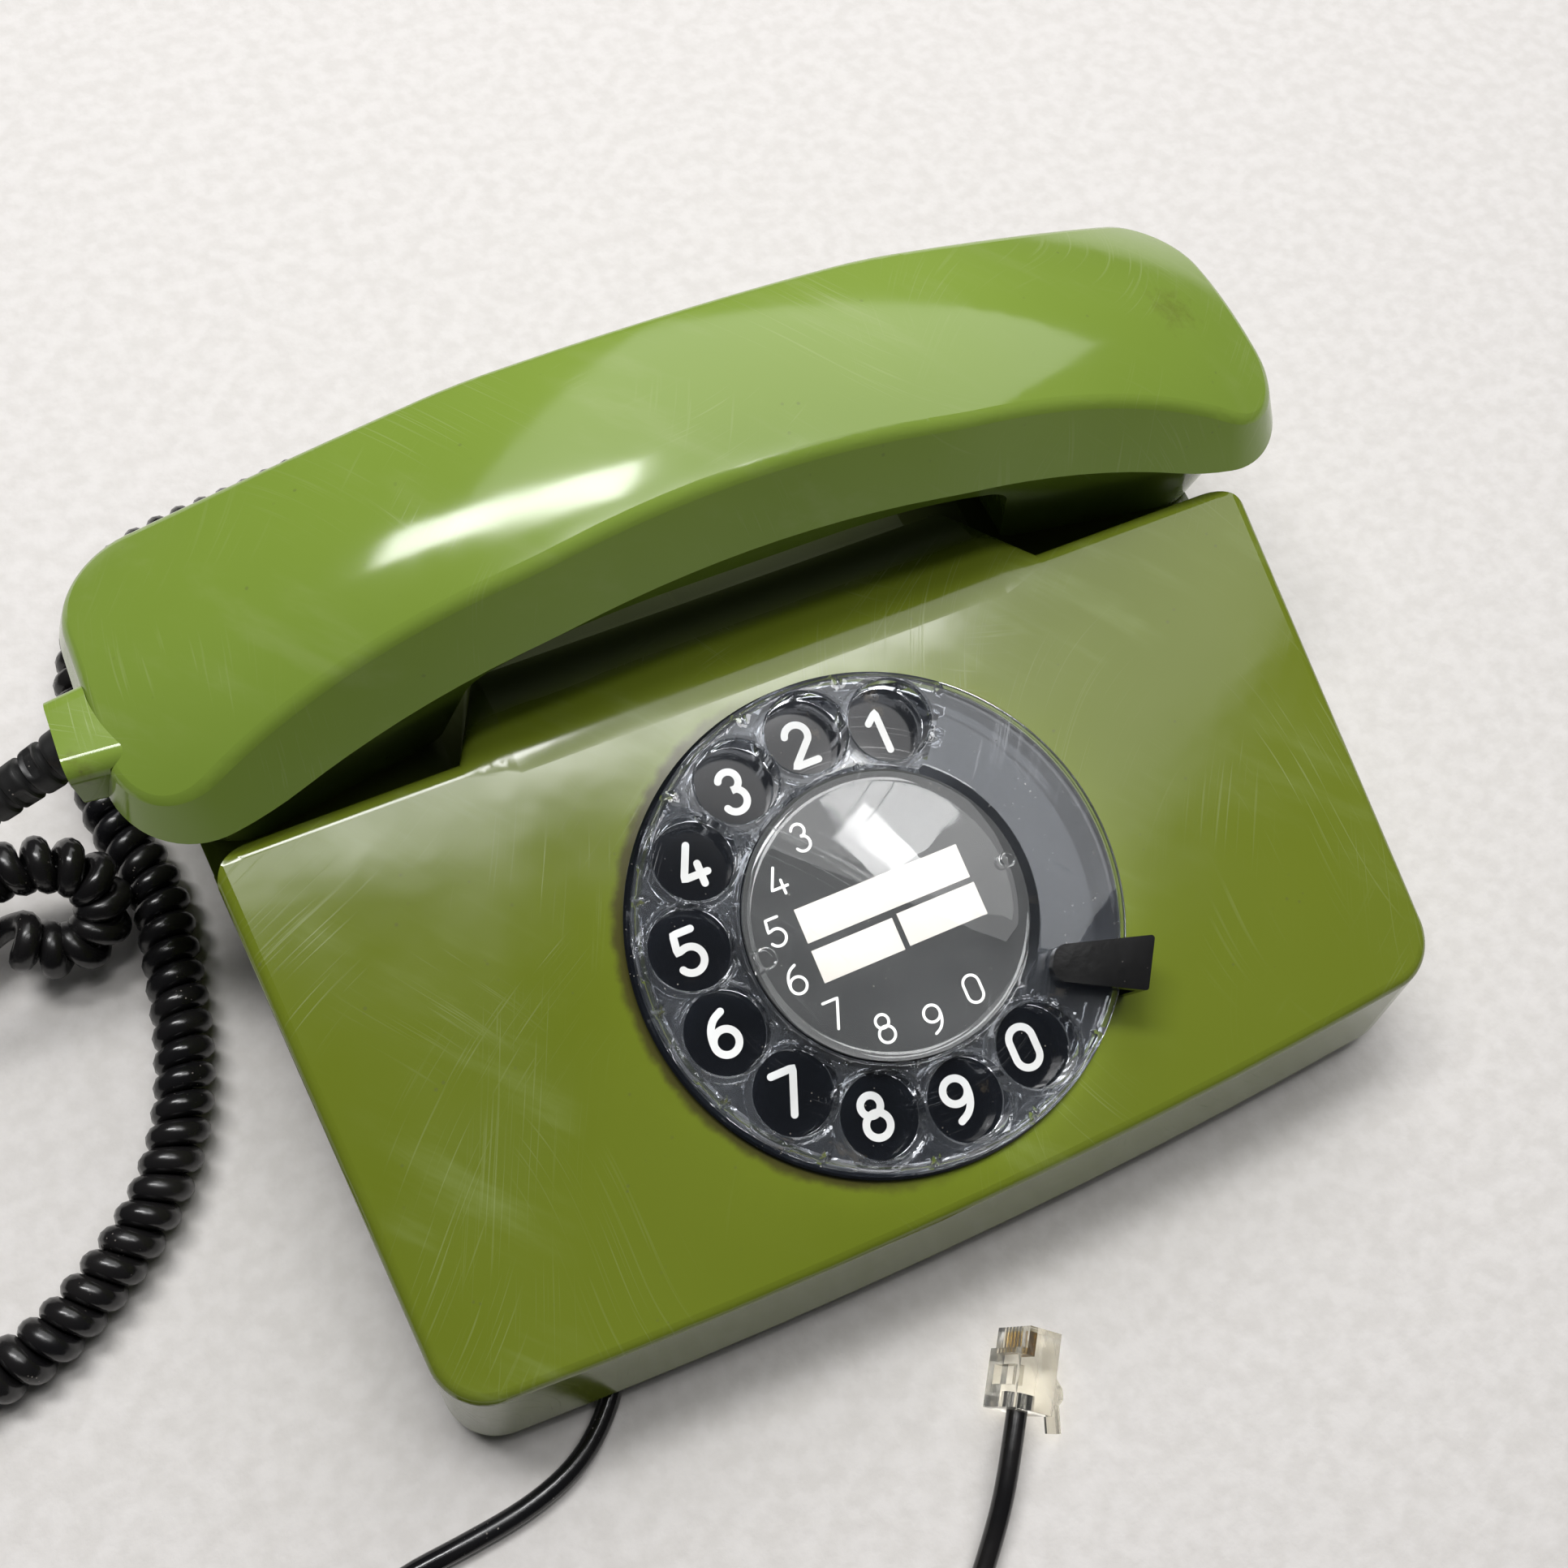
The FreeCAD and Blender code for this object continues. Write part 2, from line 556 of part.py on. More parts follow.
def around(radius, angles, centre=Vector()):
    """Points on a circle about a centre, at angles in degrees."""
    return [centre + Vector(radius * math.cos(math.radians(a)), radius * math.sin(math.radians(a)), 0)
            for a in angles]


pillar_places = around(size.pillar_circle, (30, 150, 215, 330))
dial_screw_places = around(size.dial_screw_circle, (90, 190, 350))


def gear_outline(teeth, phase):
    """A spur gear's outline: straight-flanked teeth, slimmed by the backlash, starting at a phase angle."""
    pitch_radius = size.gear_module * teeth / 2
    tip = pitch_radius + size.gear_module * 0.9
    root = pitch_radius - size.gear_module * 1.15
    step = 2 * math.pi / teeth
    slim = size.gear_backlash / pitch_radius
    points = []
    for k in range(teeth):
        middle = phase + k * step
        for radius, half in ((root, 0.36 * step - slim / 2), (tip, 0.13 * step - slim / 4)):
            points.append((radius, middle - half))
        for radius, half in ((tip, 0.13 * step - slim / 4), (root, 0.36 * step - slim / 2)):
            points.append((radius, middle + half))
    return [Vector(r * math.cos(a), r * math.sin(a), 0) for r, a in points]


def gear(teeth, phase, level, centre):
    corners = gear_outline(int(teeth), phase)
    face = Part.Face(Part.makePolygon(corners + corners[:1]))
    solid = face.extrude(Vector(0, 0, size.gear_thickness))
    solid.translate(centre + Vector(0, 0, level))
    return solid


def disc(radius, low, high, centre=Vector()):
    return Part.makeCylinder(radius, high - low, centre + Vector(0, 0, low))


def make_mech_plate(low, high):
    plate = disc(size.mech_plate_radius, low, high)
    plate = plate.cut(disc(size.spindle_radius + size.running_clearance, low - 1, high + 1))
    for centre in (arbor_place, governor_place):
        plate = plate.cut(disc(size.arbor_radius + size.running_clearance, low - 1, high + 1, centre))
    return plate


frame_shape = make_mech_plate(frame_bottom, frame_top)
dial_screw_holes = [disc(size.arbor_radius + size.screw_clearance, frame_bottom - 1, frame_top + 1, p)
                    for p in dial_screw_places]
keep("dial_frame", feature("dial_frame_plate", frame_shape.cut(dial_screw_holes), dial_place))
keep("dial_back_plate", feature("dial_back_sheet", make_mech_plate(back_bottom, back_top), dial_place))
keep("dial_pillars", feature("dial_pillar_set", Part.makeCompound(
    [disc(1.8, back_top, frame_bottom, p) for p in pillar_places]), dial_place))

spindle = disc(size.spindle_radius, back_bottom - 0.8, size.wheel_floor)
spindle = spindle.fuse(disc(size.spindle_radius + 3, size.ring_face + 0.2, size.wheel_bottom))
spindle = spindle.fuse(disc(size.spring_inner_radius - 0.2, spring_level, spring_level + size.spring_width))
keep("dial_spindle", feature("dial_spindle_shaft", spindle, dial_place))

main_gear_shape = gear(size.main_teeth, math.pi / size.main_teeth, gear_level, Vector())
main_gear_shape = main_gear_shape.cut(disc(size.spindle_radius, gear_level - 1, frame_top))
gear_windows = [disc(3.6, gear_level - 1, frame_top, p) for p in around(10, range(0, 360, 72))]
main_gear_shape = main_gear_shape.cut(gear_windows)
keep("main_gear", feature("main_gear_wheel", main_gear_shape, dial_place))

# A main tooth points along the line to the arbor only if the phase says so; the pinion then has a gap there.
main_tooth_error = (arbor_angle - math.pi / size.main_teeth) / (2 * math.pi / size.main_teeth)
main_offset = (main_tooth_error - round(main_tooth_error)) * 2 * math.pi / size.main_teeth
pinion_offset = math.pi / size.pinion_teeth + main_offset * size.main_teeth / size.pinion_teeth
pinion_phase = arbor_angle + math.pi + pinion_offset
wheel_phase = governor_angle
governor_phase = governor_angle + math.pi + math.pi / size.governor_teeth
arbor_shape = disc(size.arbor_radius, back_bottom - 0.6, frame_top + 0.4, arbor_place)
arbor_shape = arbor_shape.fuse(gear(size.pinion_teeth, pinion_phase, gear_level, arbor_place))
arbor_shape = arbor_shape.fuse(gear(size.wheel_teeth, wheel_phase, second_level, arbor_place))
keep("gear_arbor", feature("gear_arbor_set", arbor_shape, dial_place))

governor_shape = disc(size.arbor_radius, back_bottom - 0.6, frame_top + 0.4, governor_place)
governor_shape = governor_shape.fuse(gear(size.governor_teeth, governor_phase, second_level, governor_place))
fly_low = back_top + 1.2
fly_bar = Part.makeBox(2 * size.fly_radius, 3, 1.6, governor_place + Vector(-size.fly_radius, -1.5, fly_low))
fly_bar = fly_bar.common(disc(size.fly_radius, fly_low, fly_low + 2, governor_place))
governor_shape = governor_shape.fuse(fly_bar)
for side in (-1, 1):
    weight = disc(2.2, fly_low, fly_low + 2.4, governor_place + Vector(side * (size.fly_radius - 2.4), 0, 0))
    governor_shape = governor_shape.fuse(weight)
keep("governor", feature("governor_rotor", governor_shape, dial_place))

drum_ring = disc(size.drum_radius + size.drum_wall, back_top, back_top + size.drum_height, governor_place)
drum_bore = disc(size.drum_radius, back_top - 1, back_top + size.drum_height + 1, governor_place)
drum_ring = drum_ring.cut(drum_bore)
keep("governor_drum", feature("governor_drum_ring", drum_ring, dial_place))


def make_return_spring():
    """A flat spiral strip from the spindle's collar out to its anchor on the back plate."""
    turns = 3.25
    steps = 52
    outer = []
    inner = []
    for k in range(steps + 1):
        share = k / steps
        angle = share * turns * 2 * math.pi
        radius = size.spring_inner_radius + share * (size.spring_outer_radius - size.spring_inner_radius)
        outside = radius + size.spring_strip
        outer.append(Vector(outside * math.cos(angle), outside * math.sin(angle), 0))
        inner.append(Vector(radius * math.cos(angle), radius * math.sin(angle), 0))
    ring = outer + inner[::-1] + outer[:1]
    strip = Part.Face(Part.makePolygon(ring)).extrude(Vector(0, 0, size.spring_width))
    strip.translate(Vector(0, 0, spring_level))
    anchor = disc(1, back_top, spring_level + size.spring_width, Vector(0, size.spring_outer_radius + 1.2, 0))
    return strip.fuse(anchor)


keep("return_spring", feature("return_spring_strip", make_return_spring(), dial_place))

contact_place = Vector(23, 10, 0)
contact_stack = Part.makeBox(8, 5, 8, contact_place + Vector(-4, -2.5, back_top))
for k in range(3):
    leaf = Part.makeBox(10, 0.4, 2, contact_place + Vector(-14, -1.8 + 1.6 * k, back_top + 2 + k))
    contact_stack = contact_stack.fuse(leaf)
keep("pulse_contacts", feature("pulse_contact_stack", contact_stack, dial_place))

dial_screw_shapes = []
for place in dial_screw_places:
    shank = disc(size.arbor_radius, frame_bottom, frame_top + 3, place)
    dial_screw_shapes.append(shank.fuse(disc(2, frame_bottom - 1, frame_bottom, place)))
keep("dial_screws", feature("dial_screw_set", Part.makeCompound(dial_screw_shapes), dial_place))

ring_body = nodes["number_ring"]
for k, place in enumerate(dial_screw_places):
    ring_hole = circle_sketch(ring_body, "ring_screw_hole_%d" % k, "XY_Plane",
                              "Sizes.arbor_radius + 0.02", str(round(place.x, 4)), str(round(place.y, 4)))
    ring_pocket = ring_body.newObject("PartDesign::Pocket", "ring_screw_pocket_%d" % k)
    ring_pocket.Profile = ring_hole
    ring_pocket.Type = "Length"
    ring_pocket.setExpression("Length", "Sizes.ring_skirt_depth + 1")
    ring_hole.AttachmentOffset = Placement(Vector(0, 0, -1.6), Rotation())
    ring_body.Tip = ring_pocket
    doc.recompute()

# ---------------------------------------------------------------- handset

seam_bend = 2 * math.atan((size.seam_middle - size.seam_end) / (size.handset_half - 2))
grip_arc = size.seam_turn / math.sin(seam_bend)
end_run = size.handset_half - 2 - size.seam_turn
end_arc = end_run / math.sin(seam_bend)


def seam_edges(drop):
    """The seam seen from the front: an arch over the grip that levels out over the ends."""
    top = size.seam_middle - drop
    turn_height = top - grip_arc * (1 - math.cos(seam_bend))
    end_height = size.seam_end - drop
    half_bend = seam_bend / 2
    middle_rise = grip_arc * (1 - math.cos(half_bend))
    edges = [
        Part.Arc(Vector(-size.seam_turn, 0, turn_height), Vector(0, 0, top),
                 Vector(size.seam_turn, 0, turn_height)).toShape()]
    for side in (-1, 1):
        start = Vector(side * size.seam_turn, 0, turn_height)
        end = Vector(side * (size.handset_half - 2), 0, end_height)
        halfway = Vector(side * (size.handset_half - 2 - end_arc * math.sin(half_bend)), 0,
                         end_height + end_arc * (1 - math.cos(half_bend)))
        edges.append(Part.Arc(start, halfway, end).toShape())
        edges.append(Part.LineSegment(end, Vector(side * 1.3 * size.handset_half, 0, end_height)).toShape())
    return edges


def band(edges, limit):
    """The slab between a line seen from the front and a far level above or below it."""
    points = sorted((v.Point for e in edges for v in e.Vertexes), key=lambda p: p.x)
    first = points[0]
    last = points[-1]
    closing = [
        Part.LineSegment(last, Vector(last.x, 0, limit)).toShape(),
        Part.LineSegment(Vector(last.x, 0, limit), Vector(first.x, 0, limit)).toShape(),
        Part.LineSegment(Vector(first.x, 0, limit), first).toShape()]
    wire = Part.Wire(Part.__sortEdges__(edges + closing))
    slab = Part.Face(wire).extrude(Vector(0, 2 * size.handset_end_width, 0))
    slab.translate(Vector(0, -size.handset_end_width, 0))
    return slab


def handset_plan(height, half_length, end_half, grip_half):
    """The handset seen from above at one height: full round ends and softly bowed sides."""
    bend = size.grip_half
    corners = [Vector(-half_length, -end_half, height), Vector(-bend, -grip_half, height),
               Vector(bend, -grip_half, height), Vector(half_length, -end_half, height),
               Vector(half_length, end_half, height), Vector(bend, grip_half, height),
               Vector(-bend, grip_half, height), Vector(-half_length, end_half, height)]
    soft = 120
    side_angle = math.atan2(end_half - grip_half, half_length - bend)
    roundness = size.shell_end_round + size.shell_end_rise * (height - size.seam_middle)
    corner = end_half * roundness * math.tan(math.pi / 4 - side_angle / 2)
    return rounded_wire(corners, [corner, soft, soft, corner, corner, soft, soft, corner])


def upper_form(inset):
    """The upper shell's outer or inner form, without the cut at the seam."""
    wires = []
    for height in (size.seam_end - 11, size.handset_top + 4.7):
        end_half = size.handset_end_width / 2 - size.shell_side_slope * (height - size.seam_end) - inset
        grip = size.handset_grip_width / 2 + size.shell_grip_slope * (size.seam_middle - height) - inset
        length = size.handset_half - size.shell_end_slope * (height - size.seam_end - 2) - inset
        wires.append(handset_plan(height, length, end_half, grip))
    return Part.makeLoft(wires, True, True)


def under_top(inset):
    """Everything below the handset's crowned and arched top."""
    arc_centre = size.handset_top - size.handset_top_arc
    top = size.handset_top_arc - inset
    reach = 0.67 * size.handset_end_width
    low = top - 1.1 * size.handset_top
    sag = size.handset_crown_arc - math.sqrt(size.handset_crown_arc ** 2 - reach ** 2)
    profile = Part.Wire([
        Part.Arc(Vector(0, -reach, top - sag), Vector(0, 0, top), Vector(0, reach, top - sag)).toShape(),
        Part.LineSegment(Vector(0, reach, top - sag), Vector(0, reach, low)).toShape(),
        Part.LineSegment(Vector(0, reach, low), Vector(0, -reach, low)).toShape(),
        Part.LineSegment(Vector(0, -reach, low), Vector(0, -reach, top - sag)).toShape()])
    solid = Part.Face(profile).revolve(Vector(), Vector(0, 1, 0), 90)
    solid.rotate(Vector(), Vector(0, 1, 0), -45)
    solid.translate(Vector(0, 0, arc_centre))
    return solid


def lower_form(inset):
    """The lower shell's outer or inner form, leaning in towards its underside."""
    wires = []
    seam_width = size.handset_end_width / 2 - size.lower_end_inset
    for height in (size.cradle_floor - 6, size.seam_middle + 10):
        end_half = seam_width - size.lower_side_slope * (size.seam_end - height) - inset
        grip = size.handset_grip_width / 2 - 1 - size.lower_side_slope * (size.seam_middle - height) - inset
        length = size.handset_half - 3.2 - size.lower_end_slope * (size.seam_end - height) - inset
        wires.append(handset_plan(height, length, end_half, grip))
    return Part.makeLoft(wires, True, True)


def underside(inset):
    """The slab between the underside line and a level below: deep at the capsules, shallow under the grip."""
    rest = size.cradle_floor + size.handset_play + inset
    inner = cup_inner + inset
    far = 1.3 * size.handset_half
    corners = [(-far, rest), (-inner, rest), (-inner + 6, size.grip_under - 5 + inset),
               (-18, size.grip_under + inset), (18, size.grip_under + inset),
               (inner - 6, size.grip_under - 5 + inset), (inner, rest), (far, rest), (far, 0), (-far, 0)]
    radii = [1, 4, 6, 60, 60, 6, 4, 1, 1, 1]
    wire = rounded_wire([Vector(x, 0, height) for x, height in corners], radii)
    slab = Part.Face(wire).extrude(Vector(0, 2 * size.handset_end_width, 0))
    slab.translate(Vector(0, -size.handset_end_width, 0))
    return slab


def make_upper_shell():
    outer = upper_form(0).common(under_top(0))
    crease = [e for e in outer.Edges
              if e.BoundBox.ZMin > size.seam_end - 2 and e.BoundBox.ZMax < size.handset_top + 10
              and e.Length > 3 and is_top_edge(e)]
    outer = outer.makeFillet(size.crease_round, crease)
    inner = upper_form(size.shell_wall).common(under_top(size.shell_wall))
    shell = outer.cut(inner).common(band(seam_edges(0), 1.5 * size.handset_top))
    above_floor = under_top(size.shell_wall / 2).cut(underside(size.shell_wall))
    for side in (-1, 1):
        foot = Vector(side * size.handset_screw_place, 0, size.grip_under - 8)
        post = Part.makeCylinder(size.boss_radius, 40, foot).common(above_floor)
        shell = shell.fuse(post)
        shell = shell.cut(Part.makeCylinder(size.screw_radius, 8 + size.screw_length, foot))
    shell.translate(handset_middle)
    return shell


def is_top_edge(edge):
    """True for an edge that lies on the crowned top surface."""
    middle = edge.valueAt((edge.FirstParameter + edge.LastParameter) / 2)
    arc_centre = size.handset_top - size.handset_top_arc
    distance = math.hypot(middle.x, middle.z - arc_centre)
    sag = size.handset_crown_arc - math.sqrt(size.handset_crown_arc ** 2 - middle.y ** 2)
    return abs(distance - (size.handset_top_arc - sag)) < 0.05


def capsule_centre(side):
    """The middle of a capsule's seat: it lies on the floor of the handset's end."""
    seat = size.cradle_floor + size.handset_play
    return Vector(handset_middle.x + side * capsule_place, handset_middle.y, seat)


screw_seat = size.grip_under - 0.6


def make_lower_shell():
    outer = lower_form(0).cut(underside(0))
    inner = lower_form(size.shell_wall).cut(underside(size.shell_wall))
    shell = outer.cut(inner).common(band(seam_edges(size.seam_gap), 0))
    shell.translate(handset_middle)
    for side in (-1, 1):
        centre = capsule_centre(side)
        holes = [centre]
        for k in range(6):
            turn = math.radians(60 * k)
            outward = Vector(math.cos(turn), math.sin(turn), 0)
            holes.append(centre + outward * size.sound_hole_circle)
        below = Vector(0, 0, -2)
        shell = shell.cut([Part.makeCylinder(size.sound_hole_radius, 8, hole + below) for hole in holes])
    for side in (-1, 1):
        foot = handset_middle + Vector(side * size.handset_screw_place, 0, size.grip_under - 8)
        shell = shell.cut(Part.makeCylinder(size.screw_radius + size.screw_clearance, 20, foot))
        shell = shell.cut(Part.makeCylinder(size.screw_head_radius + size.screw_clearance,
                                            screw_seat - foot.z, foot))
    return shell


keep("handset_upper_shell", feature("handset_upper_form", make_upper_shell()))
keep("handset_lower_shell", feature("handset_lower_form", make_lower_shell()))

for node, side in (("transmitter_capsule", -1), ("receiver_capsule", 1)):
    place = Placement(capsule_centre(side) + Vector(0, 0, size.shell_wall), Rotation())
    turned(node, (
        ("0", "0"), ("Sizes.capsule_radius - 1", "0"), ("Sizes.capsule_radius", "1"),
        ("Sizes.capsule_radius", "Sizes.capsule_height - 2"),
        ("Sizes.capsule_radius - 4", "Sizes.capsule_height - 2"),
        ("Sizes.capsule_radius - 4", "Sizes.capsule_height"), ("0", "Sizes.capsule_height")), place)

handset_screws = []
for k, side in enumerate((-1, 1)):
    under = handset_middle + Vector(side * size.handset_screw_place, 0, screw_seat - size.screw_head_height)
    head = cylinder("handset_screw_head_%d" % k, cell("screw_head_radius"), cell("screw_head_height"), under)
    shank = cylinder("handset_screw_shank_%d" % k, cell("screw_radius"), cell("screw_length"),
                     under + Vector(0, 0, size.screw_head_height))
    handset_screws.append(fuse("handset_screw_%d" % k, [head, shank]))
keep("handset_screws", group("handset_screw_set", handset_screws))

# ---------------------------------------------------------------- handset cord

boss_end = Vector(handset_middle.x - size.handset_half - 4, handset_middle.y + size.cord_boss_offset,
                  size.cord_boss_middle)
relief_heading = Vector(-0.93, -0.10, -0.33)
relief_heading.normalize()


def ribbed_sleeve(root, tip, length, ribs):
    """A tapered sleeve with round ribs, standing on Z."""
    points = [Vector(0, 0, 0), Vector(root, 0, 0)]
    step = length / ribs
    for k in range(ribs):
        wide = root + (tip - root) * (k + 0.5) / ribs
        low = k * step
        points += [Vector(wide, 0, low + 0.15 * step), Vector(wide, 0, low + 0.65 * step),
                   Vector(wide * 0.84, 0, low + 0.75 * step), Vector(wide * 0.84, 0, low + 0.98 * step)]
    points += [Vector(tip, 0, length), Vector(0, 0, length), Vector(0, 0, 0)]
    return Part.Face(Part.makePolygon(points)).revolve(Vector(), Vector(0, 0, 1), 360)


relief_start = boss_end - relief_heading * size.relief_seat
relief_place = Placement(relief_start, Rotation(Vector(0, 0, 1), relief_heading))
relief_shape = ribbed_sleeve(size.relief_root, size.relief_tip, size.relief_length, 6)
keep("handset_strain_relief", feature("handset_relief_sleeve", relief_shape, relief_place))


def make_cord_boss():
    """The collar that the strain relief leaves: a rounded block let into the end of the lower shell."""
    half = size.cord_boss_width / 2
    low = -size.cord_boss_height / 2
    high = size.cord_boss_height / 2
    corners = [Vector(0, -half + 1.5, low), Vector(0, half - 1.5, low), Vector(0, half - 1.5, high),
               Vector(0, -half + 1.5, high)]
    tip = rounded_wire(corners, [3, 3, 3, 3])
    root = rounded_wire([Vector(size.cord_boss_length, c.y * 1.15, c.z * 1.1) for c in corners], [3, 3, 3, 3])
    boss = Part.makeLoft([tip, root], True, True)
    boss.translate(boss_end)
    body = upper_form(0).common(under_top(0)).common(band(seam_edges(0), 1.5 * size.handset_top))
    body = body.fuse(lower_form(0).cut(underside(0)).common(band(seam_edges(0), 0)))
    body.translate(handset_middle)
    boss = boss.cut(body).cut(nodes["handset_strain_relief"].Shape)
    return max(boss.Solids, key=lambda s: s.Volume)


keep("handset_cord_boss", feature("handset_cord_collar", make_cord_boss()))


curly_gland = curly_gland_place()
gland_place = Placement(curly_gland, Rotation(Vector(0, 0, 1), Vector(0, 1, 0)))
gland_length = 10
gland_shape = ribbed_sleeve(size.relief_root, size.relief_tip, gland_length, 3)
gland_flange = 1.2
in_wall = Vector(0, 0, -size.housing_wall)
gland_shape = gland_shape.fuse(Part.makeCylinder(size.relief_root, size.housing_wall, in_wall))
behind_wall = Vector(0, 0, -size.housing_wall - gland_flange)
gland_shape = gland_shape.fuse(Part.makeCylinder(size.relief_root + 1.4, gland_flange, behind_wall))
keep("handset_cord_gland", feature("handset_cord_grommet", gland_shape, gland_place))

# A plain tail leaves the relief and curls back into the coiled cord's first turn, which looks up at the person
# who dials. The coiled cord folds over beside the telephone, goes out to the left, sweeps round to the front and
# comes back along the left side to the grommet in the rear wall.
relief_tip = relief_start + relief_heading * size.relief_length
TAIL_ROUTE_UP = [Vector(x, at_depth(depth), height) for x, depth, height in (
    (-143, 100.5, 36), (-148, 100, 28.5), (-147.5, 99.5, 20), (-142, 99, 13), (-134, 98.5, 9.5))]
CURLY_ROUTE = [Vector(x, at_depth(depth), height) for x, depth, height in (
    (-124.6, 100.6, 11.9), (-120.6, 97.2, 7.4), (-114.4, 97.2, 7.2), (-110, 100.4, 10), (-110, 105.2, 14.1),
    (-114.4, 108.4, 17), (-121.5, 110, 17.8), (-132, 110, 15.9), (-144, 107, 12.2), (-157, 100.5, 8),
    (-169, 89, 5.5), (-176, 73, 5), (-176, 56, 5.1), (-167, 43, 5), (-154, 36.2, 5.2), (-140, 36.5, 5),
    (-127.6, 43, 5.1), (-116.8, 51.5, 5), (-109.4, 62.5, 5.2), (-105.4, 76, 5), (-103.6, 90, 5.1),
    (-102, 103, 5), (-105.4, 115.5, 5.1), (-107.4, 128, 5), (-108.4, 140.5, 5.1), (-109, 153, 5.2),
    (-107.4, 168.6, 5.6), (-99.2, 182.8, 6.6), (-84.6, 190, 8.4), (-68.2, 191.2, 10.4), (-54, 182.6, 12.4),
    (-46, 168, 14))]
tail_end = Vector(-126.2, at_depth(100.3), 9.6)
tail_up_points = [relief_tip, relief_tip + relief_heading * 9] + TAIL_ROUTE_UP + [tail_end]
keep("handset_cord_tail", feature(
    "handset_cord_plain", cord_tube("handset_cord_tail", tail_up_points, size.curl_wire_radius)))
curly_points = CURLY_ROUTE + [curly_gland + Vector(0, gland_length, 0)]
keep("handset_cord", feature("handset_cord_curl", cord_tube("handset_cord", curly_points, size.curl_radius)))

# ---------------------------------------------------------------- cradle switch

yoke_top = size.yoke_bottom + size.yoke_height
plunger_top = size.cradle_floor + size.handset_play - 0.1
yoke = Part.makeBox(2 * plunger_place + 8, size.yoke_width, size.yoke_height,
                    Vector(-plunger_place - 4, handset_middle.y - size.yoke_width / 2, size.yoke_bottom))
for side in (-1, 1):
    yoke = yoke.fuse(Part.makeCylinder(size.plunger_radius, plunger_top - yoke_top,
                                       Vector(side * plunger_place, handset_middle.y, yoke_top)))
keep("hook_plungers", feature("hook_plunger_yoke", yoke))

spring_height = size.yoke_bottom - plate_top
helix = Part.makeHelix(size.hook_coil_pitch, spring_height - 2 * size.hook_wire, size.hook_coil_radius)
coil_wire = Part.Wire(Part.makeCircle(size.hook_wire, Vector(size.hook_coil_radius, 0, 0), Vector(0, 1, 0)))
hook_spring_shape = Part.Wire(helix).makePipeShell([coil_wire], True, True)
hook_spring_shape.translate(Vector(0, handset_middle.y, plate_top + size.hook_wire))
keep("hook_spring", feature("hook_spring_wire", hook_spring_shape))

contact_block = Part.makeBox(20, 6, 9, Vector(14, handset_middle.y + 9, plate_top))
for k in range(3):
    contact_block = contact_block.fuse(Part.makeBox(
        26, 3, 0.4, Vector(-12, handset_middle.y + 10.5, plate_top + 3 + 2 * k)))
keep("hook_contacts", feature("hook_contact_stack", contact_block))

# ---------------------------------------------------------------- ringer

ringer_middle = Vector(size.ringer_side, at_depth(size.ringer_depth), plate_top)
bracket_thickness = 1.2
bracket_top = plate_top + bracket_thickness
bracket = Part.makeBox(24, size.gong_spacing + 12, bracket_thickness,
                       ringer_middle + Vector(-5, -size.gong_spacing / 2 - 6, 0))
gong_places = [ringer_middle + Vector(0, side * size.gong_spacing / 2, 0) for side in (-1, 1)]
for place in gong_places:
    bracket = bracket.fuse(Part.makeCylinder(2.4, size.gong_lift, place + Vector(0, 0, bracket_thickness)))
clapper_pivot = ringer_middle + Vector(size.clapper_reach, 0, bracket_thickness)
bracket = bracket.fuse(Part.makeCylinder(1, 11, clapper_pivot))
keep("ringer_bracket", feature("ringer_bracket_sheet", bracket))

gong_base = bracket_top + size.gong_lift
for node, place, share in (("low_gong", gong_places[0], "1"), ("high_gong", gong_places[1], "0.93")):
    rim = "Sizes.gong_radius * " + share
    turned(node, (
        ("1.6", "0"), (rim + " * 0.8", "0"),
        (rim, "-Sizes.gong_height * 0.45"), (rim, "-Sizes.gong_height * 0.75"),
        (rim + " - Sizes.gong_wall", "-Sizes.gong_height * 0.75"),
        (rim + " - Sizes.gong_wall", "-Sizes.gong_height * 0.45 - 0.3"),
        (rim + " * 0.8 - 0.9", "-Sizes.gong_wall"), ("1.6", "-Sizes.gong_wall")),
        Placement(Vector(place.x, place.y, gong_base + size.gong_wall), Rotation()))

gong_screws = []
for k, place in enumerate(gong_places):
    top = Vector(place.x, place.y, gong_base + size.gong_wall)
    head = cylinder("gong_screw_head_%d" % k, cell("screw_head_radius"), cell("screw_head_height"), top)
    shank_foot = top - Vector(0, 0, size.gong_wall)
    shank = cylinder("gong_screw_shank_%d" % k, "Sizes.screw_radius", "Sizes.gong_wall", shank_foot)
    gong_screws.append(fuse("gong_screw_%d" % k, [head, shank]))
keep("gong_screws", group("gong_screw_set", gong_screws))

coil_place = ringer_middle + Vector(size.clapper_reach + 8.2, 0, bracket_thickness)
turned("ringer_coil", (
    ("0", "0"), ("Sizes.coil_radius", "0"), ("Sizes.coil_radius", "1"), ("Sizes.coil_radius - 0.8", "1"),
    ("Sizes.coil_radius - 0.8", "Sizes.coil_length - 1"), ("Sizes.coil_radius", "Sizes.coil_length - 1"),
    ("Sizes.coil_radius", "Sizes.coil_length"), ("0", "Sizes.coil_length")), Placement(coil_place, Rotation()))

